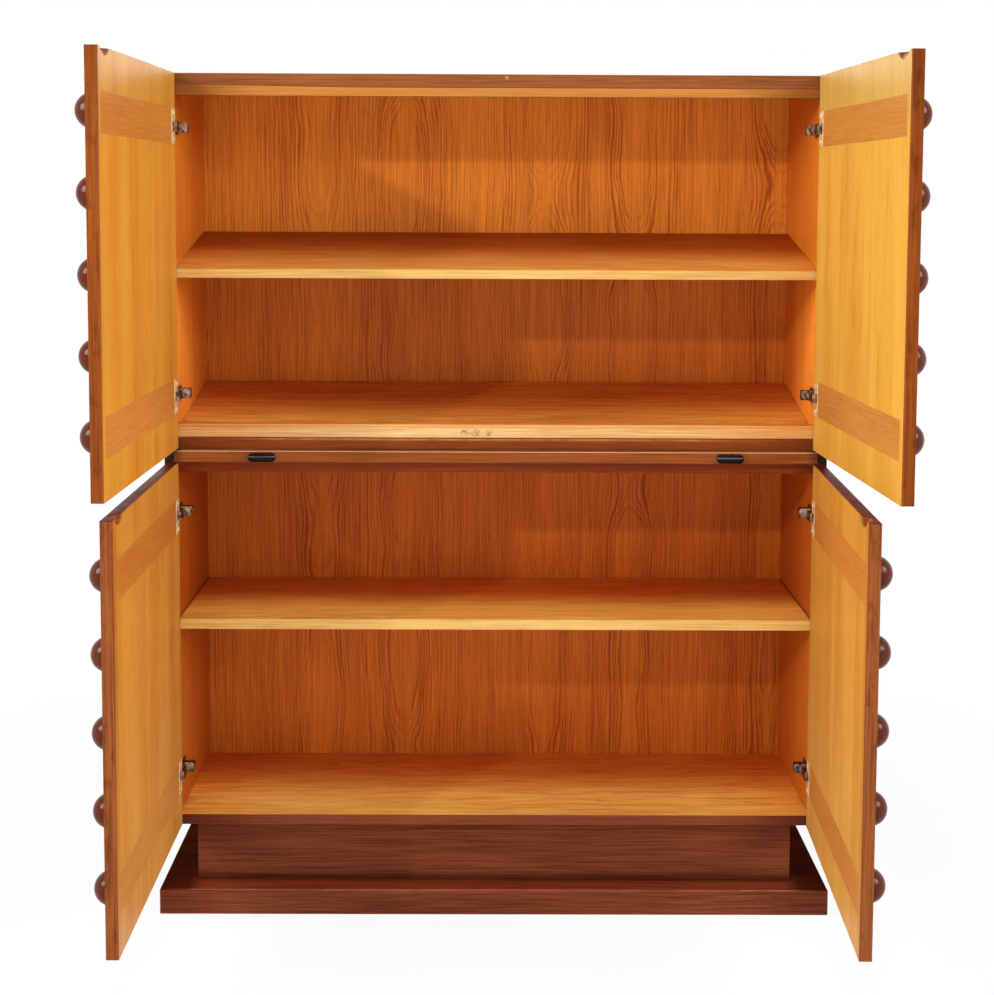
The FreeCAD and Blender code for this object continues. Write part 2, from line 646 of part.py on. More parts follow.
def dome_grid(shape, board, lift):
    """Copies of a shape at the dome centres on a closed door board's outer face, pointing outwards."""
    bounds = board.Shape.BoundBox
    side = size("dome_side_margin")
    end = size("dome_end_margin")
    across = (bounds.XLength - 2 * side) / (DOME_COLUMNS - 1)
    upward = (bounds.ZLength - 2 * end) / (DOME_ROWS - 1)
    outward = FreeCAD.Rotation(FreeCAD.Vector(0, 0, 1), FreeCAD.Vector(0, -1, 0))
    copies = []
    for column in range(DOME_COLUMNS):
        for level in range(DOME_ROWS):
            x = bounds.XMin + side + column * across
            z = bounds.ZMin + end + lift + level * upward
            copy = shape.copy()
            copy.Placement = FreeCAD.Placement(FreeCAD.Vector(x, bounds.YMin, z), outward)
            copies.append(copy)
    return Part.makeCompound(copies)


def hang(piece, door):
    """Turns a door piece, made closed about its hinge axis, to the door's resting angle."""
    left = door.endswith("left")
    swing = FreeCAD.Vector(0, 0, -1) if left else FreeCAD.Vector(0, 0, 1)
    piece.Placement = FreeCAD.Placement(FreeCAD.Vector(), FreeCAD.Rotation(swing, SAMPLE_ANGLE))
    piece.setExpression("Placement.Rotation.Angle", cell(door + "_angle"))
    piece.setExpression("Placement.Base.x", f"-{AXIS_X}" if left else AXIS_X)
    piece.setExpression("Placement.Base.y", AXIS_Y)
    piece.setExpression("Placement.Base.z", door_foot(door))
    return piece


def hinge_room(name, level, left):
    """Space that a hinge's cup and its two screws take out of a door."""
    gap = cell("fit_gap")
    near = f"{CUP_NEAR} - {gap}"
    far = f"{CUP_FAR} + {gap}"
    half = f"({CUP_HALF} + {gap})"
    span_z = (f"{level} - {half}", f"{level} + {half}")
    span_y = (f"{CUP_FLOOR} - {gap}", INNER_FACE)
    room = [box(name + "_mortise", handed(near, far, not left), span_y, span_z)]
    for number, height in enumerate(cup_screw_levels(level)):
        middle = FLANGE_MIDDLE if left else f"-{FLANGE_MIDDLE}"
        start = (middle, INNER_FACE, height)
        room.append(rod(f"{name}_pilot_{number}", SCREW_HOLE, start, cell("screw_length"), (0, -1, 0)))
    return room


def cup_screw_levels(level):
    """Heights of the two screws in a cup's flange."""
    return f"({level} - {cell('screw_offset')})", f"({level} + {cell('screw_offset')})"


def scoop(name, door):
    """Ball whose edge scoops the finger notch out of the inner top edge near the free corner."""
    left = door.endswith("left")
    ball = doc.addObject("Part::Sphere", name)
    along = f"({FREE_EDGE} - {cell('scoop_inset')})"
    ball.setExpression("Radius", cell("scoop_radius"))
    ball.setExpression("Placement.Base.x", along if left else f"-{along}")
    ball.setExpression("Placement.Base.y", f"{INNER_FACE} + {cell('scoop_standoff')}")
    ball.setExpression("Placement.Base.z", f"{door_height(door)} + {cell('scoop_rise')}")
    return ball


def build_door_panel(door, dome, drill):
    """Dark door panel with its hinge mortises, finger notch and dome holes, and the domes in them."""
    left = door.endswith("left")
    width = handed(HINGE_EDGE, FREE_EDGE, not left)
    blank = box(door + "_panel_blank", width, (OUTER_FACE, PANEL_FACE), ("0", door_height(door)))
    doc.recompute()
    dome_holes = doc.addObject("Part::Feature", door + "_dome_holes")
    dome_holes.Shape = dome_grid(drill, blank, dome_lift(door))
    tools = [scoop(door + "_panel_scoop", door), dome_holes]
    for end, level in hinge_levels(door).items():
        tools += hinge_room(f"{door}_panel_{end}", level, left)
    keep(door + "_door_panel", hang(cut(door + "_door_panel", blank, tools), door))
    domes = doc.addObject("Part::Feature", door + "_domes")
    domes.Shape = dome_grid(dome, blank, dome_lift(door))
    keep(door + "_door_domes", hang(domes, door))


def build_door_lining(door):
    """Light inner lining and the two flush bands across it."""
    left = door.endswith("left")
    width = handed(HINGE_EDGE, FREE_EDGE, not left)
    band_near = f"({HINGE_EDGE} + {cell('band_hinge_margin')})"
    band_far = f"({FREE_EDGE} - {cell('band_free_margin')})"
    band_x = handed(band_near, band_far, not left)
    lining_y = (PANEL_FACE, INNER_FACE)
    windows = []
    strips = []
    strip_tools = []
    for end, level in hinge_levels(door).items():
        band_z = (f"{level} - {cell('band_height')} / 2", f"{level} + {cell('band_height')} / 2")
        windows.append(box(f"{door}_{end}_window", band_x, lining_y, band_z))
        strips.append(box(f"{door}_{end}_strip", band_x, lining_y, band_z))
        strip_tools += hinge_room(f"{door}_band_{end}", level, left)
    lining_blank = box(door + "_lining_blank", width, lining_y, ("0", door_height(door)))
    lining_tools = [scoop(door + "_lining_scoop", door)] + windows
    keep(door + "_door_lining", hang(cut(door + "_door_lining", lining_blank, lining_tools), door))
    both_strips = fuse(door + "_strips", strips)
    keep(door + "_door_bands", hang(cut(door + "_door_bands", both_strips, strip_tools), door))


def screw(name, start, direction):
    """Head and shank of a wood screw driven from a point along a unit direction."""
    backwards = tuple(-part for part in direction)
    head = rod(name + "_head", cell("screw_head_radius"), start, cell("screw_head_height"), backwards)
    shank = rod(name + "_shank", cell("screw_radius"), start, cell("screw_length"), direction)
    return [head, shank]


def build_cups(door):
    """Flanged hinge cups, the pins across them and the screws that hold them in the door."""
    left = door.endswith("left")
    cups = []
    hollows = []
    pins = []
    screws = []
    for end, level in hinge_levels(door).items():
        name = f"{door}_{end}_cup"
        flange_x = handed(FLANGE_NEAR, FLANGE_FAR, not left)
        flange_z = (f"{level} - {cell('band_height')} / 2", f"{level} + {cell('band_height')} / 2")
        cups.append(box(name + "_flange", flange_x, (INNER_FACE, FLANGE_FACE), flange_z))
        cup_x = handed(CUP_NEAR, CUP_FAR, not left)
        cup_z = (f"{level} - {CUP_HALF}", f"{level} + {CUP_HALF}")
        cups.append(box(name + "_shell", cup_x, (CUP_FLOOR, FLANGE_FACE), cup_z))
        cavity_x = handed(CAVITY_NEAR, CAVITY_FAR, not left)
        cavity_z = (f"{level} - {CAVITY_HALF}", f"{level} + {CAVITY_HALF}")
        hollows.append(box(name + "_cavity", cavity_x, (CAVITY_FLOOR, FLANGE_FACE), cavity_z))
        pin_foot = ("0", "0", f"{level} - {CUP_HALF}")
        seat = f"({cell('hinge_pin_radius')} + {cell('pin_seat_gap')})"
        hollows.append(rod(name + "_pin_hole", seat, pin_foot, f"2 * {CUP_HALF}", (0, 0, 1)))
        pins.append(rod(name + "_pin", cell("hinge_pin_radius"), pin_foot, f"2 * {CUP_HALF}", (0, 0, 1)))
        middle = FLANGE_MIDDLE if left else f"-{FLANGE_MIDDLE}"
        for number, height in enumerate(cup_screw_levels(level)):
            face = (middle, FLANGE_FACE, height)
            hole_length = f"2 * {cell('flange_thickness')}"
            hollows.append(rod(f"{name}_screw_hole_{number}", SCREW_HOLE, face, hole_length, (0, -1, 0)))
            screws += screw(f"{name}_{number}", face, (0, -1, 0))
    both_cups = fuse(door + "_cup_shells", cups)
    keep(door + "_hinge_cups", hang(cut(door + "_hinge_cups", both_cups, hollows), door))
    keep(door + "_hinge_pins", hang(fuse(door + "_hinge_pins", pins), door))
    keep(door + "_cup_screws", hang(fuse(door + "_cup_screws", screws), door))


def build_arms(door):
    """Goosenecked hinge arms: knuckle round the pin, neck, foot on the side board and its block."""
    left = door.endswith("left")
    arms = []
    holes = []
    screws = []
    half = ARM_HALF
    neck_near = f"({AXIS_X} - {ARM_REACH} + {half})"
    neck_far = f"({AXIS_X} - {ARM_REACH} - {half})"
    foot_front = f"({FRONT} + {cell('arm_set_back')} - {cell('arm_thickness')})"
    foot_rear = f"({FRONT} + {cell('arm_set_back')} + {cell('foot_length')})"
    near_screw, far_screw = foot_screw_depths()
    clear = f"({cell('screw_head_radius')} + {cell('arm_block_gap')})"
    block_y = (f"{near_screw} + {clear}", f"{far_screw} - {clear}")
    block_x = handed(f"{INNER_HALF} - {cell('arm_block_reach')}", INNER_HALF, left)
    for end, door_level in hinge_levels(door).items():
        name = f"{door}_{end}_arm"
        level = f"({door_foot(door)} + {door_level})"
        arm_z = (f"{level} - {cell('arm_height')} / 2", f"{level} + {cell('arm_height')} / 2")
        foot_z = (f"{level} - {cell('foot_height')} / 2", f"{level} + {cell('foot_height')} / 2")
        axis = (f"-{AXIS_X}" if left else AXIS_X, AXIS_Y, arm_z[0])
        arms.append(rod(name + "_knuckle", cell("knuckle_radius"), axis, cell("arm_height"), (0, 0, 1)))
        throw_y = (f"{AXIS_Y} - {half}", f"{AXIS_Y} + {half}")
        arms.append(box(name + "_throw", handed(neck_far, AXIS_X, left), throw_y, arm_z))
        neck_y = (f"{AXIS_Y} - {half}", f"{FRONT} + {cell('arm_set_back')}")
        arms.append(box(name + "_neck", handed(neck_far, neck_near, left), neck_y, arm_z))
        step_y = (foot_front, f"{FRONT} + {cell('arm_set_back')}")
        arms.append(box(name + "_step", handed(neck_far, INNER_HALF, left), step_y, arm_z))
        foot_x = handed(f"{INNER_HALF} - {cell('arm_thickness')}", INNER_HALF, left)
        arms.append(box(name + "_foot", foot_x, (foot_front, foot_rear), foot_z))
        tall = f"({cell('arm_block_height')} / 2)"
        arms.append(box(name + "_block", block_x, block_y, (f"{level} - {tall}", f"{level} + {tall}")))
        bore = f"({cell('hinge_pin_radius')} + {cell('pin_running_gap')})"
        holes.append(rod(name + "_bore", bore, axis, cell("arm_height"), (0, 0, 1)))
        outward = (-1, 0, 0) if left else (1, 0, 0)
        face = f"({INNER_HALF} - {cell('arm_thickness')})"
        for number, depth in enumerate(foot_screw_depths()):
            start = (f"-{face}" if left else face, depth, level)
            through = f"2 * {cell('arm_thickness')}"
            holes.append(rod(f"{name}_screw_hole_{number}", SCREW_HOLE, start, through, outward))
            screws += screw(f"{name}_{number}", start, outward)
    keep(door + "_hinge_arms", cut(door + "_hinge_arms", fuse(door + "_arm_bars", arms), holes))
    return screws


def build_doors():
    """The four doors, with their domes and hinges."""
    dome = dome_master()
    hole_radius = size("spigot_radius") + size("fit_gap") / 2
    depth = size("spigot_length")
    drill = Part.makeCylinder(hole_radius, depth, FreeCAD.Vector(0, 0, -depth))
    arm_screws = []
    for door in DOORS:
        build_door_panel(door, dome.Shape, drill)
        build_door_lining(door)
        build_cups(door)
        arm_screws += build_arms(door)
    keep("hinge_arm_screws", fuse("hinge_arm_screws", arm_screws))


def check_and_write():
    """Stops if any object failed or any piece is empty or invalid, then writes the pieces."""
    failed = [item.Name for item in doc.Objects if {"Invalid", "Error"} & set(item.State)]
    if failed:
        raise RuntimeError("failed objects: " + ", ".join(failed))
    for piece in subparts:
        if piece.Shape.isNull() or not piece.Shape.isValid() or not piece.Shape.Solids:
            raise RuntimeError("bad shape: " + piece.Label)
    os.makedirs("parts", exist_ok=True)
    for piece in subparts:
        piece.Shape.exportStep(f"parts/{piece.Label}.step")
        print(piece.Label, len(piece.Shape.Solids), round(piece.Shape.Volume, 1))


build_plinth()
build_carcass()
build_bottle_floor()
build_shelves()
build_slide()
build_doors()
doc.recompute()
check_and_write()
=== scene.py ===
import math

import bmesh
import bpy
from mathutils import Matrix, Vector

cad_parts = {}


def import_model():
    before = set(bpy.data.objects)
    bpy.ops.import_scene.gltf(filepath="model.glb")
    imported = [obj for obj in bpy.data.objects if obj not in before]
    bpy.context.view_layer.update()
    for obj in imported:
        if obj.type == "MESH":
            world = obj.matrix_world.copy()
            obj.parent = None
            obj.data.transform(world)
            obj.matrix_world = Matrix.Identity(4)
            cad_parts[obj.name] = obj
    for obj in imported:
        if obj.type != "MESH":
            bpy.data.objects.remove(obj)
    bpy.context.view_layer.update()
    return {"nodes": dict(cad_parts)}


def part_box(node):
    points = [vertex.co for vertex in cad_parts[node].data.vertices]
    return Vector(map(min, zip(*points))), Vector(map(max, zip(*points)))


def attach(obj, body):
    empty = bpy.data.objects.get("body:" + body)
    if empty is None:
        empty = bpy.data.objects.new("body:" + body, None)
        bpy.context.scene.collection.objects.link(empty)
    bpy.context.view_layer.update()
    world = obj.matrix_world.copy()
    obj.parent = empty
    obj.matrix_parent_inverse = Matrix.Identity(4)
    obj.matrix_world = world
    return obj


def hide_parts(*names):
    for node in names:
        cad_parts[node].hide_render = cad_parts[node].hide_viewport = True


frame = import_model()
nodes = frame["nodes"]

DOORS = ("upper_left", "upper_right", "lower_left", "lower_right")
AXES = {"x": 0, "y": 1, "z": 2}

# Places on the CAD nodes that the finishes line up with, in metres.
FRONT = -0.178  # y of the carcass front
BACK_FACE = 0.160  # y of the back panels' inner faces
INNER_WALL = 0.529  # x of the sides' inner faces
SHELF_END = 0.5282
SLIDE_FACE = -0.202
RISER_FACE = -0.142
SLAB_TOP = 0.043
CARCASS_FOOT = 0.150
MIDDLE_TOP = 0.804
CAP_FOOT = 0.822
RAIL_TOP = 1.382
DOOR_TOPS = {"upper_left": 1.400, "upper_right": 1.400, "lower_left": 0.764, "lower_right": 0.764}

# The part of a normal along an axis from which, and up to which, a face counts as looking that way.
FACING = (0.45, 0.75)


# ---------------------------------------------------------------- node tools

def srgb(red, green, blue):
    """A colour given as 0-255 display values, as the linear RGBA that a socket takes."""
    linear = []
    for channel in (red, green, blue):
        c = channel / 255.0
        linear.append(c / 12.92 if c <= 0.04045 else ((c + 0.055) / 1.055) ** 2.4)
    return (*linear, 1.0)


class Tree:
    """Short calls for making and joining shader nodes."""

    def __init__(self, tree):
        self.tree = tree

    def new(self, kind, **settings):
        node = self.tree.nodes.new(kind)
        for key, value in settings.items():
            setattr(node, key, value)
        return node

    def put(self, socket, value):
        if isinstance(value, bpy.types.NodeSocket):
            self.tree.links.new(value, socket)
        else:
            socket.default_value = value

    def math(self, operation, a, b=0.0, clamp=False):
        node = self.new("ShaderNodeMath", operation=operation, use_clamp=clamp)
        self.put(node.inputs[0], a)
        self.put(node.inputs[1], b)
        return node.outputs[0]

    def plus(self, a, b, clamp=False):
        return self.math("ADD", a, b, clamp)

    def minus(self, a, b):
        return self.math("SUBTRACT", a, b)

    def times(self, a, b):
        return self.math("MULTIPLY", a, b)

    def over(self, a, b):
        return self.math("DIVIDE", a, b)

    def absolute(self, a):
        return self.math("ABSOLUTE", a)

    def mix(self, factor, a, b, blend="MIX"):
        node = self.new("ShaderNodeMix", data_type="RGBA", blend_type=blend)
        self.put(node.inputs[0], factor)
        self.put(node.inputs[6], a)
        self.put(node.inputs[7], b)
        return node.outputs[2]

    def tint(self, colour, by):
        """A colour multiplied by three factors, or by another colour's socket."""
        return self.mix(1.0, colour, (*by, 1.0) if isinstance(by, tuple) else by, blend="MULTIPLY")

    def step(self, value, low, high, to_low=0.0, to_high=1.0):
        """A smooth step from to_low to to_high as value goes from low to high."""
        node = self.new("ShaderNodeMapRange", interpolation_type="SMOOTHSTEP")
        for index, entry in enumerate((value, low, high, to_low, to_high)):
            self.put(node.inputs[index], entry)
        return node.outputs[0]

    def xyz(self, vector):
        node = self.new("ShaderNodeSeparateXYZ")
        self.put(node.inputs[0], vector)
        return node.outputs

    def vector(self, x, y, z):
        node = self.new("ShaderNodeCombineXYZ")
        for socket, value in zip(node.inputs, (x, y, z)):
            self.put(socket, value)
        return node.outputs[0]

    def vmath(self, operation, a, b=None, output=0):
        node = self.new("ShaderNodeVectorMath", operation=operation)
        self.put(node.inputs[0], a)
        if b is not None:
            self.put(node.inputs[1], b)
        return node.outputs[output]

    def noise(self, vector, detail=2.0, rough=0.5):
        node = self.new("ShaderNodeTexNoise")
        self.put(node.inputs["Vector"], vector)
        node.inputs["Scale"].default_value = 1.0
        node.inputs["Detail"].default_value = detail
        node.inputs["Roughness"].default_value = rough
        return node.outputs["Fac"]

    def patches(self, point, scale, **settings):
        """Noise with a scale for each axis, or one scale for all three."""
        scale = scale if isinstance(scale, tuple) else (scale, scale, scale)
        return self.noise(self.vmath("MULTIPLY", point, scale), **settings)

    def object_point(self):
        return self.new("ShaderNodeTexCoord").outputs["Object"]

    def object_normal(self):
        return self.new("ShaderNodeTexCoord").outputs["Normal"]

    def rounded_normal(self, radius):
        bevel = self.new("ShaderNodeBevel", samples=4)
        bevel.inputs["Radius"].default_value = radius
        return bevel.outputs[0]

    def edge_turn(self, radius):
        """How far the normal turns within a radius: 0 on a flat, more beside an arris."""
        flat = self.new("ShaderNodeNewGeometry").outputs["Normal"]
        soft = self.rounded_normal(radius)
        return self.minus(1.0, self.vmath("DOT_PRODUCT", soft, flat, output=1))

    def relief(self, shader, height, strength, distance, rounding=None):
        """Gives a shader a fine relief, over arrises rounded by a radius."""
        bump = self.new("ShaderNodeBump")
        bump.inputs["Strength"].default_value = strength
        bump.inputs["Distance"].default_value = distance
        self.put(bump.inputs["Height"], height)
        if rounding is not None:
            self.put(bump.inputs["Normal"], self.rounded_normal(rounding))
        self.put(shader.inputs["Normal"], bump.outputs[0])

    def seen(self):
        """1 for rays that show a surface, straight or by reflection, 0 for those that light it."""
        rays = self.new("ShaderNodeLightPath").outputs
        shown = self.plus(rays["Is Camera Ray"], rays["Is Glossy Ray"], clamp=True)
        return self.plus(shown, rays["Is Transmission Ray"], clamp=True)


def fresh_material(name):
    material = bpy.data.materials.new(name)
    material.use_nodes = True
    material.node_tree.nodes.clear()
    tree = Tree(material.node_tree)
    shader = tree.new("ShaderNodeBsdfPrincipled")
    output = tree.new("ShaderNodeOutputMaterial")
    tree.put(output.inputs["Surface"], shader.outputs[0])
    return material, tree, shader


# ---------------------------------------------------------------- wood

LEAF_LEAN = 0.26  # share of a leaf by which the hearts of two neighbours stand off centre
HEART_REACH = 0.032  # half the width of the figured heart of a leaf
BARE_REACH = 0.014  # half the width of the strip at its middle that shows few lines
BARE_AMOUNT = 0.88
WEAR_REACH = 0.0022
SHIFT_STEP = 0.53  # how far apart two pieces are cut from the same log


def grain_group():
    """Sawn wood in coordinates (along the grain, across it, through it), all in metres.

    Ring is the dark line of each year, Fibre the fine streaks, Pore the short dark dashes and
    Cloud the slow change of tone. Leaf is the width of one sheet of veneer, Plain half the width
    of the bare flame at its heart, and Far the strength of the lines far from the heart.
    """
    group = bpy.data.node_groups.new("sawn_grain", "ShaderNodeTree")
    made = group.interface.new_socket
    made("Vector", in_out="INPUT", socket_type="NodeSocketVector")
    for name in ("Leaf", "Core", "Taper", "Spacing", "Wander", "Swell", "Line", "Plain", "Far"):
        made(name, in_out="INPUT", socket_type="NodeSocketFloat")
    for name in ("Ring", "Fibre", "Pore", "Cloud"):
        made(name, in_out="OUTPUT", socket_type="NodeSocketFloat")
    t = Tree(group)
    given = t.new("NodeGroupInput").outputs
    result = t.new("NodeGroupOutput").inputs
    leaf, core, spacing, far = (given[key] for key in ("Leaf", "Core", "Spacing", "Far"))
    u, v, w = t.xyz(given["Vector"])

    # The place of a point in its leaf. Each leaf comes from another length of the log.
    index = t.math("FLOOR", t.over(v, leaf))
    chance = t.new("ShaderNodeTexWhiteNoise", noise_dimensions="1D")
    t.put(chance.inputs["W"], index)
    middle = t.times(t.plus(index, 0.5), leaf)
    odd = t.math("PINGPONG", index, 1.0)
    shift = t.times(t.minus(0.5, odd), t.times(leaf, LEAF_LEAN))
    across = t.plus(t.minus(v, middle), shift)
    along = t.plus(u, t.times(t.xyz(chance.outputs["Color"])[1], 7.0))

    # The way to the middle of the log, with a wander, a close tremble and a swell at the heart.
    broad = t.noise(t.vector(t.times(along, 1.9), t.times(v, 5.0), w), detail=2.0)
    broad = t.times(t.minus(broad, 0.5), given["Wander"])
    close = t.noise(t.vector(t.times(along, 11.0), t.times(v, 60.0), w), detail=3.0)
    close = t.times(t.minus(close, 0.5), t.times(spacing, 1.8))
    side = t.plus(across, broad)
    radius = t.math("SQRT", t.plus(t.times(side, side), t.times(core, core)))
    wide = t.over(side, HEART_REACH)
    heart = t.over(1.0, t.plus(t.times(wide, wide), 1.0))
    swell = t.vector(t.times(along, given["Swell"]), t.times(index, 3.1), 0.0)
    swell = t.noise(swell, detail=1.0)
    lean = t.times(t.minus(swell, 0.5), t.times(given["Taper"], 2.0))
    lean = t.times(lean, heart)

    # The year a point grew in, and the dark line at the end of that year.
    total = t.plus(t.plus(radius, lean), t.plus(close, t.times(w, 0.7)))
    total = t.over(total, spacing)
    uneven = t.noise(t.vector(t.times(total, 0.33), t.times(index, 7.7), 0.0), detail=1.0)
    total = t.plus(total, t.times(t.minus(uneven, 0.5), 2.2))
    year = t.math("FRACT", total)
    rise = t.step(year, given["Line"], 0.82)
    fall = t.step(year, 0.84, 1.0, 1.0, 0.0)

    # The strength of a line: by year, in patches, away from the heart and in the bare flame.
    season = t.new("ShaderNodeTexWhiteNoise", noise_dimensions="1D")
    t.put(season.inputs["W"], t.math("FLOOR", total))
    depth = t.plus(t.times(season.outputs["Value"], 0.65), 0.35)
    faint = t.patches(t.vector(along, v, w), (2.4, 17.0, 17.0), detail=2.0)
    depth = t.times(depth, t.step(faint, 0.34, 0.62, 0.3, 1.0))
    depth = t.times(depth, t.plus(t.times(heart, t.minus(1.0, far)), far))
    tight = t.over(side, BARE_REACH)
    bare = t.over(BARE_AMOUNT, t.plus(t.times(tight, tight), 1.0))
    depth = t.times(depth, t.minus(1.0, bare))
    flame = t.minus(t.plus(t.plus(radius, lean), close), given["Plain"])
    depth = t.times(depth, t.step(flame, -0.005, 0.001, 0.10, 1.0))
    t.put(result["Ring"], t.times(t.times(rise, fall), depth))

    fibre = t.patches(t.vector(u, v, w), (8.0, 360.0, 360.0), detail=3.0, rough=0.6)
    t.put(result["Fibre"], fibre)
    dash = t.patches(t.vector(u, v, w), (48.0, 560.0, 560.0), detail=1.0)
    t.put(result["Pore"], t.step(dash, 0.56, 0.72))
    t.put(result["Cloud"], t.patches(t.vector(along, v, w), (1.7, 9.0, 9.0), detail=2.0))
    return group


GRAIN = grain_group()


def wood(name, axes, light, dark, faces=(), leaf=9.0, core=0.012, taper=0.012, spacing=0.006,
         wander=0.02, swell=3.4, line=0.40, plain=-0.1, far=0.35, ring=0.55, edge_ring=0.25,
         fibre=0.35, pore=0.30, cloud=0.35, rough=0.42, specular=0.06,
         gloss_tint=(1.0, 1.0, 1.0, 1.0), offset=(0.0, 0.0, 0.0), shift=0, wear=None,
         wear_amount=0.0, rounding=0.0009, finish=None):
    """A varnished wood whose grain runs along the first of axes; faces recolours by object normal.

    leaf to far shape the grain, ring to cloud are the strengths of its parts, edge_ring is that of
    the rings on the narrow faces, and finish is a function that recolours the whole.
    """
    material, t, shader = fresh_material(name)
    point = t.object_point()
    parts = t.xyz(t.vmath("ADD", point, tuple(o + SHIFT_STEP * shift for o in offset)))
    grain = t.new("ShaderNodeGroup", node_tree=GRAIN)
    t.put(grain.inputs["Vector"], t.vector(*(parts[AXES[a]] for a in axes)))
    figure = {"Leaf": leaf, "Core": core, "Taper": taper, "Spacing": spacing, "Wander": wander,
              "Swell": swell, "Line": line, "Plain": plain, "Far": far}
    for key, value in figure.items():
        grain.inputs[key].default_value = value

    normal = t.xyz(t.object_normal())
    broadside = t.step(t.absolute(normal[AXES[axes[2]]]), 0.4, 0.7, edge_ring, 1.0)
    rings = t.times(grain.outputs["Ring"], broadside)
    pores = t.times(grain.outputs["Pore"], t.plus(t.times(rings, 0.75), 0.25))
    streak = t.step(grain.outputs["Fibre"], 0.32, 0.70)
    tone = t.times(rings, ring)
    tone = t.plus(tone, t.times(streak, fibre))
    tone = t.plus(tone, t.times(pores, pore), clamp=True)
    drift = t.times(t.step(grain.outputs["Cloud"], 0.3, 0.7), cloud)
    tone = t.plus(tone, t.times(drift, 0.5), clamp=True)

    colour = t.mix(tone, light, dark)
    for axis, sign, face_light, face_dark in faces:
        facing = t.step(t.times(normal[AXES[axis]], sign), *FACING)
        colour = t.mix(facing, colour, t.mix(tone, face_light, face_dark))
    if wear is not None:
        patch = t.step(t.patches(point, 55.0, detail=3.0), 0.34, 0.66)
        edge = t.times(t.step(t.edge_turn(WEAR_REACH), 0.02, 0.22), patch)
        colour = t.mix(t.times(edge, wear_amount), colour, wear)
    if finish is not None:
        colour = finish(t, point, colour)
    t.put(shader.inputs["Base Color"], colour)

    sheen = t.patches(point, 14.0, detail=3.0)
    gloss = t.plus(t.times(sheen, 0.16), rough - 0.08)
    gloss = t.plus(gloss, t.times(pores, 0.12), clamp=True)
    t.put(shader.inputs["Roughness"], gloss)
    height = t.plus(t.times(rings, -0.35), t.times(pores, -1.0))
    height = t.plus(height, t.times(streak, -0.25))
    t.relief(shader, height, 0.35, 0.00025, rounding)
    shader.inputs["Specular IOR Level"].default_value = specular
    shader.inputs["Specular Tint"].default_value = gloss_tint
    return material


# Finishes: each is a function of the tree, the point and the colour so far.

def finishes(*each):
    """Several finishes, one over the other."""
    def finish(t, point, colour):
        for one in each:
            colour = one(t, point, colour)
        return colour
    return finish


def front_face(inner):
    """Another finish, on the faces that look to the front only."""
    def finish(t, point, colour):
        facing = t.step(t.times(t.xyz(t.object_normal())[1], -1.0), *FACING)
        return t.mix(facing, colour, inner(t, point, colour))
    return finish


def painted_shade_to_back(front, back, tint):
    """Grows into a tint from y = front to y = back: painted shade towards the back of a
    compartment.
    """
    def finish(t, point, colour):
        depth = t.step(t.xyz(point)[1], front, back)
        return t.mix(depth, colour, t.tint(colour, tint))
    return finish


def shade_along(axis, start, end, tint):
    """Grows into a tint from one place to another along an axis."""
    ends = (0.0, 1.0) if start < end else (1.0, 0.0)

    def finish(t, point, colour):
        part = t.step(t.xyz(point)[AXES[axis]], min(start, end), max(start, end), *ends)
        return t.mix(part, colour, t.tint(colour, tint))
    return finish


def shade_ends(start, end, tint):
    """Grows into a tint towards both ends, from x = start to x = end, where the doors shade it."""
    def finish(t, point, colour):
        along = t.absolute(t.xyz(point)[0])
        return t.mix(t.step(along, start, end), colour, t.tint(colour, tint))
    return finish


def spot(centre, reach, tint, amount, grit=260.0, ragged=(0.44, 0.60)):
    """A small rough mark round a place, in a colour of its own."""
    def finish(t, point, colour):
        away = t.vmath("DIVIDE", t.vmath("SUBTRACT", point, centre), reach)
        inside = t.step(t.vmath("LENGTH", away, output=1), 0.55, 1.0, 1.0, 0.0)
        rough = t.step(t.patches(point, grit, detail=2.0), *ragged)
        return t.mix(t.times(t.times(inside, rough), amount), colour, tint)
    return finish


def storey_light(axis, limit, entries):
    """Painted light and shade for each storey of an inside face: (low, high, tint in front, tint at
    the back).
    """
    blur = 0.015

    def finish(t, point, colour):
        parts = t.xyz(point)
        inner = t.step(t.absolute(parts[AXES[axis]]), limit, limit + 0.002, 1.0, 0.0)
        back = t.step(parts[1], -0.06, 0.13)
        for low, high, front_tint, back_tint in entries:
            within = t.times(t.step(parts[2], low - blur, low + blur),
                             t.step(parts[2], high - blur, high + blur, 1.0, 0.0))
            tinted = t.tint(colour, t.mix(back, (*front_tint, 1.0), (*back_tint, 1.0)))
            colour = t.mix(t.times(within, inner), colour, tinted)
        return colour
    return finish


def stained_top(top, light, dark):
    """A dark stain on a door's top edge, down to just under its arris."""
    def finish(t, point, colour):
        level = t.step(t.xyz(point)[2], top - 0.0011, top - 0.0004)
        fleck = t.patches(point, (60.0, 24.0, 60.0), detail=3.0)
        return t.mix(level, colour, t.mix(t.step(fleck, 0.35, 0.65), light, dark))
    return finish


def flames(t, point, colour):
    """The flecks of figure on the top of a shelf, long in x."""
    fleck = t.patches(point, (8.0, 60.0, 60.0), detail=3.0, rough=0.6)
    pale = t.tint(colour, (1.06, 1.12, 1.16))
    deep = t.tint(colour, (0.95, 0.86, 0.76))
    facing = t.step(t.xyz(t.object_normal())[2], *FACING)
    return t.mix(facing, colour, t.mix(t.step(fleck, 0.38, 0.64), pale, deep))


def smudges(t, point, colour):
    """Old knocks and darkened varnish in small patches."""
    patch = t.step(t.patches(point, (70.0, 70.0, 34.0), detail=3.0), 0.54, 0.66)
    return t.mix(t.times(patch, 0.6), colour, t.tint(colour, (0.62, 0.52, 0.50)))


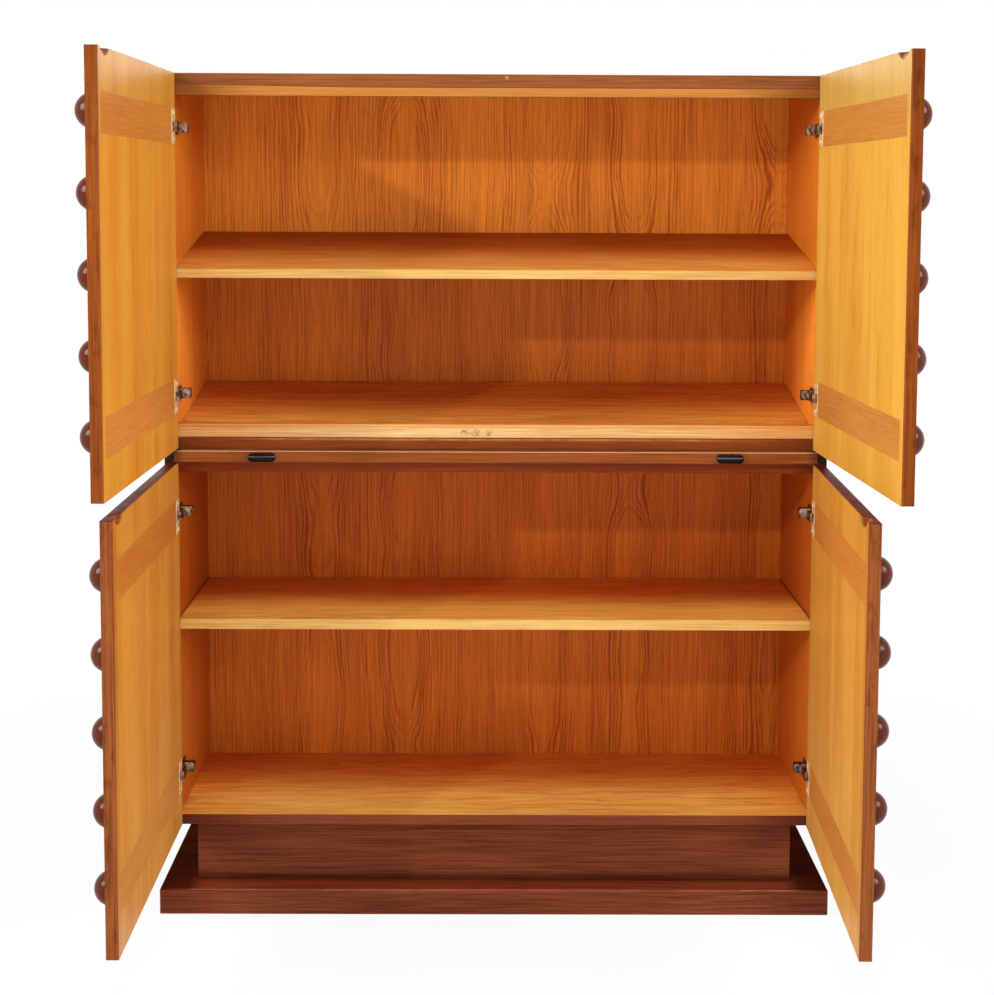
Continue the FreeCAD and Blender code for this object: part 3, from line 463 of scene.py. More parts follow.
def rubbed_lit_edge(low, high, tint, amount, reach):
    """A patchy light line along the top of a front edge, from z = low to z = high: wear, and a
    painted highlight on the arris.
    """
    def finish(t, point, colour):
        x, y, z = t.xyz(point)
        part = t.times(t.step(z, low, high), t.step(t.absolute(x), reach, reach + 0.1, 1.0, 0.0))
        patch = t.step(t.patches(point, 38.0, detail=3.0), 0.32, 0.62, 0.35, 1.0)
        return t.mix(t.times(t.times(part, patch), amount), colour, tint)
    return front_face(finish)


def under_lip(top, depth, start, end, lip, gap_shadow):
    """A stained lip over a painted shadow line along a rail's top, deeper from x = start to x =
    end.
    """
    def finish(t, point, colour):
        x, y, z = t.xyz(point)
        low = t.minus(top, t.step(x, start, end, 0.0, depth))
        above = t.minus(z, low)
        colour = t.mix(t.step(above, -0.0011, -0.0003), colour, gap_shadow)
        return t.mix(t.step(above, 0.0003, 0.0009), colour, lip)
    return finish


def slab_shade(t, point, colour):
    """Darkens the slab's top beside the riser and along the ends, where little light comes in."""
    x, y, z = t.xyz(point)
    above = t.step(z, SLAB_TOP - 0.0035, SLAB_TOP - 0.0005)
    ends = t.step(t.absolute(x), 0.49, 0.52)
    corner = t.step(y, RISER_FACE - 0.023, RISER_FACE)
    dark = t.times(above, t.math("MAXIMUM", ends, t.times(corner, 0.8)))
    colour = t.mix(above, colour, t.tint(colour, (1.10, 0.82, 0.68)))
    return t.mix(dark, colour, t.tint(colour, (0.36, 0.34, 0.38)))


# Display colours of the timber, light and dark of the grain.
HONEY = {
    "upper_left": (srgb(214, 155, 58), srgb(189, 116, 33)),
    "upper_right": (srgb(216, 168, 70), srgb(191, 129, 41)),
    "lower_left": (srgb(206, 145, 60), srgb(181, 110, 34)),
    "lower_right": (srgb(206, 152, 64), srgb(182, 115, 36)),
}
HONEY_EDGE = (srgb(222, 186, 114), srgb(178, 130, 64))
RAIL_EDGE = (srgb(234, 204, 150), srgb(196, 142, 84))
SHELF = (srgb(222, 160, 76), srgb(188, 112, 44))
# Lighter copies of SHELF for the lower shelf and the bottom board: painted light.
SHELF_LOWER_LIT = (srgb(243, 191, 94), srgb(206, 135, 56))
SHELF_BOTTOM_LIT = (srgb(239, 196, 102), srgb(203, 138, 61))
BAND = (srgb(198, 133, 59), srgb(173, 100, 37))
BAND_PALE = (srgb(191, 133, 59), srgb(166, 100, 37))
BANDS = {"upper_left": BAND, "upper_right": BAND_PALE, "lower_left": BAND, "lower_right": BAND}
AMBER = (srgb(222, 132, 45), srgb(160, 76, 20))
AMBER_SHADED = (srgb(210, 116, 36), srgb(148, 66, 16))
INSIDE = (srgb(202, 110, 36), srgb(170, 80, 22))
RAIL = (srgb(162, 110, 50), srgb(116, 64, 22))
RAIL_LIP = srgb(122, 64, 30)
RUST = (srgb(133, 70, 26), srgb(88, 40, 14))
RUST_DEEP = (srgb(122, 61, 20), srgb(80, 35, 11))
RUST_GREY = (srgb(133, 75, 37), srgb(88, 43, 21))
DOOR_EDGE = {"upper_left": RUST, "upper_right": RUST_DEEP,
             "lower_left": RUST_GREY, "lower_right": RUST_GREY}
DOOR_TOP = (srgb(98, 26, 8), srgb(58, 12, 4))
SCOOP = {
    "upper_left": srgb(166, 128, 122),
    "upper_right": srgb(190, 132, 112),
    "lower_left": srgb(150, 84, 54),
    "lower_right": srgb(158, 90, 56),
}
BROWN = (srgb(148, 82, 38), srgb(98, 46, 19))
TOP_EDGE = (srgb(130, 76, 39), srgb(90, 46, 20))
MIDDLE_EDGE = (srgb(144, 72, 24), srgb(98, 43, 12))
# Stained front edge, darker still with painted shade under the slide front.
LOWER_EDGE_SHADED = (srgb(138, 58, 17), srgb(94, 33, 8))
BOTTOM_EDGE = (srgb(130, 68, 39), srgb(87, 42, 23))
CAP_EDGE = (srgb(226, 172, 106), srgb(194, 132, 70))
SLIDE_EDGE = (srgb(150, 82, 34), srgb(102, 50, 18))
SLIDE_TOP_LIT = (srgb(246, 190, 150), srgb(222, 158, 116))
STAIN = (srgb(118, 56, 30), srgb(76, 33, 17))
PLINTH = (srgb(136, 75, 48), srgb(76, 37, 22))
SHADOW = (srgb(44, 24, 18), srgb(28, 14, 11))
DOME = (srgb(90, 36, 16), srgb(52, 19, 8))
WORN = srgb(206, 132, 80)
CAP_WEAR_HIGHLIGHT = srgb(240, 184, 108)
MIDDLE_RUB_HIGHLIGHT = srgb(206, 138, 80)
EDGE_WEAR_HIGHLIGHT = srgb(196, 138, 108)
NICK = srgb(190, 146, 118)
DENT = srgb(132, 92, 60)
SHADOW_LINE = srgb(92, 46, 20)

# Doors: light linings with two bands inside, dark outside and on the edges.
LINING_GRAIN = dict(leaf=0.19, core=0.03, taper=0.08, spacing=0.024, wander=0.05, line=0.30,
                    ring=0.75, fibre=0.20, pore=0.20, cloud=0.95)
BAND_GRAIN = dict(core=0.02, taper=0.03, spacing=0.008, wander=0.03, ring=0.6, fibre=0.40,
                  pore=0.25, cloud=0.80)
DOOR_GRAIN = dict(leaf=0.21, core=0.01, taper=0.06, spacing=0.007, ring=0.8, edge_ring=0.14,
                  fibre=0.65, pore=0.40, cloud=0.7, rough=0.40, wear=WORN, wear_amount=0.22,
                  gloss_tint=(0.60, 0.34, 0.24, 1.0))
# Painted sheen: a bluer haze near the tops of the upper doors' linings.
TOP_SHEEN_TINT = {"upper_left": (0.90, 0.96, 1.12), "upper_right": (0.82, 0.91, 1.20)}
hinge_side = shade_along("y", -0.226, -0.206, (1.04, 1.08, 1.22))
lining = {}
band_wood = {}
door_faces = {}
for number, door in enumerate(DOORS):
    outward = -1.0 if "left" in door else 1.0
    if "upper" in door:
        lining_sheen_and_shade = finishes(hinge_side, shade_along("z", 1.26, 1.36, TOP_SHEEN_TINT[door]),
                        shade_along("y", -0.704, -0.718, (0.97, 0.92, 1.0)))
        band_shade = shade_along("z", 1.10, 0.95, (1.07, 1.08, 1.25))
    else:
        lining_sheen_and_shade = finishes(hinge_side, shade_along("z", 0.60, 0.24, (0.96, 1.04, 1.4)),
                        shade_along("y", -0.700, -0.716, (0.86, 0.76, 0.86)))
        band_shade = shade_along("z", 0.60, 0.24, (0.96, 1.04, 1.3))
    lining[door] = wood(f"lining_wood_{door}", "zyx", *RUST, faces=[("x", -outward, *HONEY[door])],
                        shift=number, finish=lining_sheen_and_shade, **LINING_GRAIN)
    band_wood[door] = wood(f"band_wood_{door}", "yzx", *RUST, faces=[("x", -outward, *BANDS[door])],
                           shift=number, finish=band_shade, **BAND_GRAIN)
    top = DOOR_TOPS[door]
    scoop = spot((outward * 0.55, -0.686, top), (0.06, 0.019, 0.015), SCOOP[door], 0.9,
                 grit=170.0, ragged=(0.30, 0.52))
    door_faces[door] = wood(f"door_wood_{door}", "zyx", *DOOR_EDGE[door],
                            faces=[("x", outward, *STAIN)], shift=number + 5,
                            finish=finishes(smudges, scoop, stained_top(top, *DOOR_TOP)),
                            **DOOR_GRAIN)

# Back panels in five matched leaves, and the carcass sides.
BACK_GRAIN = dict(leaf=0.2087, core=0.013, taper=0.062, spacing=0.0058, wander=0.030, swell=4.6,
                  line=0.25, plain=0.020, far=0.18, ring=2.0, fibre=0.46, pore=0.60, cloud=0.40,
                  offset=(0.246, 0.0, 0.0))
AS_IT_IS = (1.0, 1.0, 1.0)
# Painted light and shade on the back panels' inner faces, storey by storey.
back_storey_light = {
    "upper": storey_light("y", BACK_FACE + 0.001, [
        (1.10, 1.40, AS_IT_IS, (1.20, 1.40, 1.40)),
        (0.80, 1.10, AS_IT_IS, (0.94, 0.91, 0.86)),
    ]),
    "lower": storey_light("y", BACK_FACE + 0.001, [(0.10, 0.485, AS_IT_IS, (1.05, 1.14, 1.25))]),
}
back_wood = {}
# The lower back panel takes a darker copy of the amber: painted shade.
for storey, tones in (("upper", AMBER), ("lower", AMBER_SHADED)):
    back_wood[storey] = wood(f"back_wood_{storey}", "zxy", *tones, faces=[("y", 1.0, *BROWN)],
                             finish=back_storey_light[storey], **BACK_GRAIN)
# Painted light and shade on the sides' inner faces, storey by storey.
wall_storey_light = storey_light("x", INNER_WALL + 0.0005, [
    (1.09, 1.40, (1.16, 1.40, 1.25), (1.30, 1.45, 1.30)),
    (0.80, 1.09, (1.85, 2.60, 3.00), (1.50, 1.80, 2.00)),
    (0.49, 0.77, (0.87, 0.80, 0.80), (0.84, 0.74, 0.80)),
    (0.10, 0.49, (1.00, 1.12, 1.20), (1.02, 1.04, 1.15)),
])
side_wood = {}
for side, outward in (("left", -1.0), ("right", 1.0)):
    side_wood[side] = wood(
        f"side_wood_{side}", "zyx", *INSIDE,
        faces=[("x", outward, *STAIN), ("y", -1.0, *SHADOW), ("y", 1.0, *STAIN)],
        leaf=0.17, core=0.012, taper=0.05, spacing=0.008, ring=0.7, fibre=0.40, pore=0.3, cloud=0.4,
        finish=wall_storey_light)

# Carcass boards and shelves: honey inside, their front edges stained or light.
SHELF_GRAIN = dict(core=0.02, taper=0.08, spacing=0.019, wander=0.05, line=0.35, ring=1.1,
                   fibre=0.45, pore=0.35, cloud=0.6, wear=WORN, wear_amount=0.10)
BOARD_GRAIN = {**SHELF_GRAIN, "leaf": 0.21, "wear_amount": 0.12}


def shelf(name, tones, edge, finish, grain):
    return wood(name, "xyz", *tones, faces=[("y", -1.0, *edge)], finish=finish, **grain)


dim_ends = shade_ends(0.36, 0.53, (0.48, 0.46, 0.48))
orange_ends = shade_ends(0.40, 0.52, (0.93, 0.84, 0.74))
bottom_wood = shelf(
    "bottom_wood", SHELF_BOTTOM_LIT, BOTTOM_EDGE,
    finishes(painted_shade_to_back(-0.13, 0.06, (0.85, 0.48, 0.38)), flames,
             shade_ends(0.34, 0.52, (0.97, 0.78, 0.60)), front_face(dim_ends)),
    BOARD_GRAIN)
middle_wood = shelf(
    "middle_wood", SHELF, MIDDLE_EDGE,
    finishes(shade_ends(0.42, 0.53, (0.62, 0.55, 0.66)),
             rubbed_lit_edge(MIDDLE_TOP - 0.0045, MIDDLE_TOP - 0.001, MIDDLE_RUB_HIGHLIGHT, 0.65, 0.34)),
    BOARD_GRAIN)
lower_top_wood = shelf(
    "lower_top_wood", SHELF, LOWER_EDGE_SHADED, shade_ends(0.46, 0.53, (0.7, 0.6, 0.6)), BOARD_GRAIN)
floor_wood = shelf(
    "floor_wood", SHELF, HONEY_EDGE,
    finishes(painted_shade_to_back(-0.13, 0.06, (1.0, 0.64, 0.54)), flames),
    {**SHELF_GRAIN, "leaf": 0.24, "fibre": 0.7})
lower_shelf_wood = shelf(
    "lower_shelf_wood", SHELF_LOWER_LIT, HONEY_EDGE,
    finishes(painted_shade_to_back(-0.13, 0.06, (0.82, 0.40, 0.31)), flames, orange_ends,
             shade_ends(SHELF_END - 0.0042, SHELF_END - 0.0014, (0.32, 0.26, 0.26))),
    {**SHELF_GRAIN, "leaf": 0.24, "shift": 2})
upper_shelf_wood = shelf(
    "upper_shelf_wood", SHELF, HONEY_EDGE,
    finishes(painted_shade_to_back(-0.17, 0.03, (0.49, 0.22, 0.14)), flames, orange_ends),
    {**SHELF_GRAIN, "leaf": 0.26, "shift": 1})
nick = spot((0.0145, FRONT, 1.3945), (0.0045, 0.01, 0.0036), NICK, 0.45)
top_wood = wood(
    "top_wood", "xyz", *SHELF,
    faces=[("y", -1.0, *TOP_EDGE), ("z", 1.0, *STAIN), ("y", 1.0, *STAIN), ("x", 1.0, *STAIN),
           ("x", -1.0, *STAIN)],
    leaf=0.23, core=0.02, taper=0.012, spacing=0.008, ring=0.5, fibre=0.55, pore=0.3, cloud=0.8,
    wear=WORN, wear_amount=0.3, finish=nick)

# Rails and the slide.
rail_lip = under_lip(RAIL_TOP, 0.0034, -0.53, -0.2, RAIL_LIP, SHADOW_LINE)
top_rail_wood = wood(
    "top_rail_wood", "xzy", *RAIL, leaf=0.05, core=0.006, taper=0.02, spacing=0.0034, wander=0.012,
    swell=6.0, ring=0.75, fibre=0.3, pore=0.25, cloud=0.5,
    finish=finishes(shade_ends(0.36, 0.53, (0.62, 0.48, 0.40)), rail_lip))
# Painted shade towards both ends of the bottle rail and its cap.
rail_end_shade = finishes(shade_along("x", -0.14, -0.50, (0.74, 0.54, 0.40)),
                     shade_along("x", 0.30, 0.50, (0.92, 0.72, 0.55)))
dents = finishes(spot((-0.051, FRONT, 0.8146), (0.0088, 0.01, 0.0068), DENT, 0.85, grit=430.0),
                 spot((-0.034, FRONT, 0.8140), (0.0105, 0.01, 0.0066), DENT, 0.85, grit=430.0),
                 spot((-0.012, FRONT, 0.8143), (0.0078, 0.01, 0.0074), DENT, 0.85, grit=430.0))
rail_wood = wood(
    "rail_wood", "xzy", *RAIL_EDGE, faces=[("z", -1.0, *BROWN)], core=0.01, taper=0.05,
    spacing=0.005, swell=5.0, ring=0.9, fibre=0.55, pore=0.4, cloud=0.8,
    finish=finishes(rail_end_shade, dents))
# The cap: painted shade along its foot and under it, wear and a painted highlight on its arrises.
cap_foot_shade = shade_along("z", CAP_FOOT + 0.0016, CAP_FOOT + 0.0002, (0.84, 0.78, 0.74))
cap_wood = wood(
    "cap_wood", "xzy", *CAP_EDGE, faces=[("z", 1.0, *SHELF), ("z", -1.0, SHADOW_LINE, SHADOW_LINE)], core=0.03,
    taper=0.008, spacing=0.005, ring=0.35, fibre=0.4, pore=0.3, cloud=0.6, wear=CAP_WEAR_HIGHLIGHT,
    wear_amount=0.6, finish=finishes(rail_end_shade, cap_foot_shade))
slide_wood = wood(
    "slide_wood", "xyz", *SHELF, faces=[("y", -1.0, *RUST)], leaf=0.22, core=0.012, taper=0.05,
    spacing=0.009, ring=0.4, fibre=0.35, pore=0.3, cloud=0.5)
# Painted light on the slide front's top face, and painted shadow on the part of it under the middle
# board.
shadow_behind_lip = shade_along("y", SLIDE_FACE + 0.0025, SLIDE_FACE + 0.0075, (0.26, 0.20, 0.17))
slide_front_wood = wood(
    "slide_front_wood", "xzy", *SLIDE_EDGE, faces=[("z", 1.0, *SLIDE_TOP_LIT)], core=0.03,
    taper=0.010, spacing=0.007, ring=0.40, edge_ring=0.2, fibre=0.55, pore=0.35, cloud=0.7,
    finish=finishes(shade_ends(0.506, 0.526, (0.45, 0.40, 0.50)), shadow_behind_lip))

# Plinth and domes.
PLINTH_GRAIN = dict(core=0.01, taper=0.03, spacing=0.006, ring=0.75, fibre=0.50, pore=0.50,
                    cloud=0.8, specular=0.0)
# Painted shade along the risers' foot on the slab and along their top under the carcass.
foot_shade = shade_along("z", SLAB_TOP + 0.017, SLAB_TOP, (0.50, 0.45, 0.45))
head_shade = shade_along("z", CARCASS_FOOT - 0.018, CARCASS_FOOT, (0.45, 0.42, 0.42))
plinth_ends = shade_ends(0.32, 0.56, (0.60, 0.52, 0.56))
# The slab's arrises: wear and a painted highlight.
slab_rub_highlight = rubbed_lit_edge(SLAB_TOP - 0.003, SLAB_TOP - 0.0005, EDGE_WEAR_HIGHLIGHT, 0.35, 0.46)
slab_wood = wood("slab_wood", "xzy", *PLINTH, wear=EDGE_WEAR_HIGHLIGHT, wear_amount=0.9,
                 finish=finishes(slab_shade, plinth_ends, slab_rub_highlight), **PLINTH_GRAIN)
plinth_wood = wood("plinth_wood", "xzy", *PLINTH, shift=3,
                   finish=finishes(foot_shade, head_shade, plinth_ends), **PLINTH_GRAIN)
plinth_end_wood = wood("plinth_end_wood", "yzx", *PLINTH, shift=4,
                       finish=finishes(foot_shade, head_shade), **PLINTH_GRAIN)
dome_wood = wood("dome_wood", "zyx", *DOME, core=0.01, taper=0.03, spacing=0.005, ring=0.4,
                 edge_ring=0.3, fibre=0.4, pore=0.05, cloud=0.6, rough=0.13, specular=0.15,
                 rounding=0.0003)


# ---------------------------------------------------------------- metal and black pulls

def metal(name, base, tint, rough, metallic=1.0, blot=90.0):
    """A brushed metal of two colours in blotches; a larger blot makes them smaller."""
    material, t, shader = fresh_material(name)
    point = t.object_point()
    blotch = t.patches(point, blot, detail=4.0)
    brushed = t.patches(point, (900.0, 900.0, 60.0), detail=2.0)
    t.put(shader.inputs["Base Color"], t.mix(t.step(blotch, 0.40, 0.68), base, tint))
    gloss = t.plus(t.times(brushed, 0.22), rough - 0.11)
    t.put(shader.inputs["Roughness"], t.plus(gloss, t.times(blotch, 0.08)))
    shader.inputs["Metallic"].default_value = metallic
    t.relief(shader, brushed, 0.12, 0.0001, rounding=0.0004)
    return material


plate_nickel = metal("hinge_plate_nickel", srgb(228, 202, 156), srgb(202, 172, 124), 0.45,
                     metallic=0.4)
# The arms' nickel is painted dark brown in blotches: painted shade and painted reflections of the
# orange inside.
arm_nickel_shaded = metal("hinge_arm_nickel", srgb(126, 98, 80), srgb(42, 27, 19), 0.32, blot=150.0)
screw_metal = metal("screw_nickel", srgb(128, 112, 96), srgb(84, 72, 60), 0.32)
peg_metal = metal("peg_steel_worn", srgb(186, 180, 170), srgb(130, 120, 106), 0.36)


def pull_material():
    """Black lacquer, rubbed at the edges, with a painted highlight along the ridge of the pull."""
    material, t, shader = fresh_material("pull_lacquer")
    point = t.object_point()
    speck = t.patches(point, 420.0, detail=3.0)
    smear = t.patches(point, (60.0, 120.0, 120.0), detail=3.0)
    colour = t.mix(t.step(smear, 0.35, 0.75), srgb(11, 10, 12), srgb(22, 21, 23))
    rub = t.times(t.step(t.edge_turn(0.0015), 0.03, 0.25), t.step(speck, 0.35, 0.6))
    colour = t.mix(t.times(rub, 0.3), colour, srgb(84, 78, 74))
    low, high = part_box("left_pull")
    ridge = low[2] + 0.66 * (high[2] - low[2])
    off = t.absolute(t.minus(t.xyz(point)[2], ridge))
    ridge_highlight = t.times(t.step(off, 0.0004, 0.0012, 1.0, 0.0), t.step(smear, 0.36, 0.56, 0.35, 0.8))
    t.put(shader.inputs["Base Color"], t.mix(ridge_highlight, colour, srgb(112, 108, 112)))
    t.put(shader.inputs["Roughness"], t.plus(t.times(smear, 0.2), 0.16))
    shader.inputs["Specular IOR Level"].default_value = 0.05
    t.relief(shader, speck, 0.15, 0.0001)
    return material


pull_black = pull_material()


# ---------------------------------------------------------------- finishes on the CAD nodes

def dress(node_name, material):
    for slot in nodes[node_name].material_slots:
        slot.material = material


dress("base_slab", slab_wood)
for name in ("riser_front", "riser_back"):
    dress(name, plinth_wood)
for name in ("riser_left", "riser_right"):
    dress(name, plinth_end_wood)
for side in ("left", "right"):
    dress(f"{side}_side", side_wood[side])
    dress(f"{side}_pull", pull_black)
dress("bottom_board", bottom_wood)
dress("middle_board", middle_wood)
dress("lower_top_board", lower_top_wood)
dress("top_panel", top_wood)
dress("top_rail", top_rail_wood)
dress("upper_back_panel", back_wood["upper"])
dress("lower_back_panel", back_wood["lower"])
dress("floor_bearer", back_wood["lower"])
dress("sloping_floor", floor_wood)
dress("lower_shelf", lower_shelf_wood)
dress("bottle_rail", rail_wood)
dress("bottle_rail_cap", cap_wood)
dress("upper_shelf", upper_shelf_wood)
dress("slide_board", slide_wood)
dress("slide_front", slide_front_wood)
for name in ("upper_shelf_pins", "lower_shelf_pins", "slide_stops"):
    dress(name, peg_metal)
for door in DOORS:
    dress(f"{door}_door_panel", door_faces[door])
    dress(f"{door}_door_lining", lining[door])
    dress(f"{door}_door_bands", band_wood[door])
    dress(f"{door}_door_domes", dome_wood)
    dress(f"{door}_hinge_cups", plate_nickel)
    dress(f"{door}_hinge_arms", arm_nickel_shaded)
    dress(f"{door}_hinge_pins", screw_metal)
    dress(f"{door}_cup_screws", screw_metal)
dress("hinge_arm_screws", screw_metal)


# ---------------------------------------------------------------- modelled details

def piece(name, bm, material, body, stands_for=None):
    """A finished mesh, given in the frame's own coordinates, riding on a body."""
    mesh = bpy.data.meshes.new(name)
    bm.normal_update()
    bm.to_mesh(mesh)
    bm.free()
    mesh.materials.append(material)
    made = bpy.data.objects.new(name, mesh)
    bpy.context.scene.collection.objects.link(made)
    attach(made, body)
    if stands_for:
        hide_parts(stands_for)


def islands(node_name):
    """The separate solids of a CAD node, each as a list of points."""
    mesh = nodes[node_name].data
    index = {}
    ids = [index.setdefault(tuple(round(c, 5) for c in v.co), len(index)) for v in mesh.vertices]
    root = list(range(len(index)))

    def find(a):
        while root[a] != a:
            root[a] = root[root[a]]
            a = root[a]
        return a

    for face in mesh.polygons:
        first = find(ids[face.vertices[0]])
        for corner in face.vertices[1:]:
            root[find(ids[corner])] = first
    groups = {}
    for point, number in index.items():
        groups.setdefault(find(number), []).append(Vector(point))
    return list(groups.values())


SCREW_HEAD_RADIUS = 0.0034
SCREW_HEAD_HEIGHT = 0.0016
SCREW_HEAD_RINGS = (0.0004, 0.0006, 0.0009, 0.0012, 0.0015, 0.0018, 0.0020, 0.0022, 0.0026, 0.0030,
                    SCREW_HEAD_RADIUS)
SCREW_SHANK_RADIUS = 0.0018
SCREW_TURNS = 48
CROSS_REACH = 0.0021
CROSS_HALF_WIDTH = 0.00042
CROSS_DEPTH = 0.0011


def smooth(value, low, high):
    x = min(1.0, max(0.0, (value - low) / (high - low)))
    return x * x * (3.0 - 2.0 * x)


def head_height(x, y, radius):
    """How high a screw's head stands over its seat: a low dome with a cross cut into it."""
    dome = math.sqrt(max(0.0, 1.0 - (radius / SCREW_HEAD_RADIUS) ** 2))
    dome = SCREW_HEAD_HEIGHT * (0.45 + 0.55 * dome)
    slot = 1.0 - smooth(min(abs(x), abs(y)), CROSS_HALF_WIDTH * 0.8, CROSS_HALF_WIDTH * 1.3)
    slot *= 1.0 - smooth(radius, CROSS_REACH - 0.0003, CROSS_REACH)
    return dome - CROSS_DEPTH * slot


def cross_screw(bm, seat, out, turn, length):
    """An oval-headed screw with a cross recess: seat is under the head, out the way it faces."""
    right = out.orthogonal().normalized()
    up = out.cross(right)
    spin_c, spin_s = math.cos(turn), math.sin(turn)

    def ring(radius, high=None):
        """A ring of points at one height, or on the head's own surface."""
        made = []
        for number in range(SCREW_TURNS):
            angle = 2.0 * math.pi * number / SCREW_TURNS
            x, y = radius * math.cos(angle), radius * math.sin(angle)
            across = right * (x * spin_c - y * spin_s) + up * (x * spin_s + y * spin_c)
            lift = head_height(x, y, radius) if high is None else high
            made.append(bm.verts.new(seat + across + out * lift))
        return made

    rings = [ring(radius) for radius in SCREW_HEAD_RINGS]
    rings += [ring(SCREW_HEAD_RADIUS, 0.0), ring(SCREW_SHANK_RADIUS, 0.0),
              ring(SCREW_SHANK_RADIUS, -0.72 * length), ring(SCREW_SHANK_RADIUS * 0.25, -length)]
    bm.faces.new(list(reversed(rings[-1])))
    middle = bm.verts.new(seat + out * (SCREW_HEAD_HEIGHT - CROSS_DEPTH))
    for number in range(SCREW_TURNS):
        after = (number + 1) % SCREW_TURNS
        bm.faces.new((middle, rings[0][number], rings[0][after])).smooth = True
        for inner, outer in zip(rings, rings[1:]):
            bm.faces.new((inner[number], outer[number], outer[after], inner[after])).smooth = True


def screws_in_place_of(node_name, body, material):
    """A modelled screw for each plain one of a CAD node, with its head at the wider end."""
    bm = bmesh.new()
    for number, points in enumerate(islands(node_name)):
        centre = sum(points, Vector()) / len(points)
        axis = Vector((1.0, 0.0, 0.0))
        for turn in range(40):
            total = Vector()
            for q in points:
                d = q - centre
                total += d * d.dot(axis)
            axis = total.normalized()
        ends = [(q - centre).dot(axis) for q in points]
        ahead, behind = max(ends), min(ends)
        wide = [max(((q - centre) - axis * (q - centre).dot(axis)).length
                    for q, end in zip(points, ends) if abs(end - limit) < 0.0002)
                for limit in (ahead, behind)]
        if wide[0] < wide[1]:
            axis, ahead, behind = -axis, -behind, -ahead
        low = Vector([min(q[i] for q in points) for i in range(3)])
        high = Vector([max(q[i] for q in points) for i in range(3)])
        middle = (low + high) / 2.0
        near = max((q - middle).dot(axis) for q in points)
        seat = middle + axis * (near - SCREW_HEAD_HEIGHT)
        cross_screw(bm, seat, axis, 0.4 + 1.7 * number, ahead - behind - SCREW_HEAD_HEIGHT)
    bmesh.ops.recalc_face_normals(bm, faces=bm.faces)
    piece(f"{node_name}_detail", bm, material, body, node_name)


def softened(node_name, material, body, width):
    """The CAD solid's own mesh with its sharp edges rounded, in place of the node."""
    bm = bmesh.new()
    bm.from_mesh(nodes[node_name].data)
    bmesh.ops.remove_doubles(bm, verts=bm.verts, dist=0.00001)
    bmesh.ops.dissolve_limit(bm, angle_limit=math.radians(1.0), verts=bm.verts, edges=bm.edges)
    sharp = [e for e in bm.edges
             if len(e.link_faces) == 2 and e.calc_face_angle(0.0) > math.radians(50.0)
             and e.calc_length() > 3.0 * width]
    bmesh.ops.bevel(bm, geom=sharp, offset=width, offset_type="OFFSET", segments=2, profile=0.5,
                    affect="EDGES", clamp_overlap=True)
    for face in bm.faces:
        face.smooth = True
    for edge in bm.edges:
        edge.smooth = len(edge.link_faces) == 2 and edge.calc_face_angle(0.0) < math.radians(48.0)
    piece(f"{node_name}_detail", bm, material, body, node_name)


for door in DOORS:
    screws_in_place_of(f"{door}_cup_screws", f"{door}_door", plate_nickel)
    softened(f"{door}_hinge_arms", arm_nickel_shaded, "carcass", 0.0005)
    softened(f"{door}_hinge_cups", plate_nickel, f"{door}_door", 0.0004)
screws_in_place_of("hinge_arm_screws", "carcass", screw_metal)


def adjusting_screws():
    """The screw in the inner face of each hinge arm's block, which sets the door's overlay."""
    bm = bmesh.new()
    for door in DOORS:
        inward = Vector((1.0, 0.0, 0.0)) if "left" in door else Vector((-1.0, 0.0, 0.0))
        for number, points in enumerate(islands(f"{door}_hinge_arms")):
            reach = max(q.dot(inward) for q in points)
            face = [q for q in points if q.dot(inward) > reach - 0.0001]
            cross_screw(bm, sum(face, Vector()) / len(face), inward, 0.5 + number, 0.004)
    bmesh.ops.recalc_face_normals(bm, faces=bm.faces)
    piece("hinge_adjusting_screws", bm, screw_metal, "carcass")


adjusting_screws()

PIN_INSET = 0.014
PIN_PITCH = 0.095
PIN_SIDES = 12
PIN_PROFILE = ((0.0016, -0.0006), (0.0016, 0.0002), (0.0012, 0.0006), (0.0006, 0.0008))


def back_pins():
    """Small panel pins along the edges of both back panels."""
    bm = bmesh.new()
    for name in ("upper_back_panel", "lower_back_panel"):
        low, high = (Vector(corner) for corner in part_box(name))
        left, right = low.x + PIN_INSET, high.x - PIN_INSET
        bottom, top = low.z + PIN_INSET, high.z - PIN_INSET
        across = int((right - left) / PIN_PITCH)
        upward = int((top - bottom) / PIN_PITCH)
        spots = [(left + (right - left) * i / across, z)
                 for i in range(across + 1) for z in (bottom, top)]
        spots += [(x, bottom + (top - bottom) * i / upward)
                  for i in range(1, upward) for x in (left, right)]
        for x, z in spots:
            rings = []
            for radius, proud in PIN_PROFILE:
                angles = [2.0 * math.pi * i / PIN_SIDES for i in range(PIN_SIDES)]
                rings.append([bm.verts.new((x + radius * math.cos(a), high.y + proud,
                                            z + radius * math.sin(a))) for a in angles])
            for inner, outer in zip(rings, rings[1:]):
                for i in range(PIN_SIDES):
                    after = (i + 1) % PIN_SIDES
                    bm.faces.new((inner[i], inner[after], outer[after], outer[i])).smooth = True
            bm.faces.new(rings[-1])
            bm.faces.new(list(reversed(rings[0])))
    bmesh.ops.recalc_face_normals(bm, faces=bm.faces)
    piece("back_panel_pins", bm, peg_metal, "carcass")


back_pins()


# ---------------------------------------------------------------- stage

WHITE = (1.0, 1.0, 1.0, 1.0)
FLOOR_HALF = 7.0
FLOOR_LEVEL = -0.0006
SKY_LIGHT = 0.28


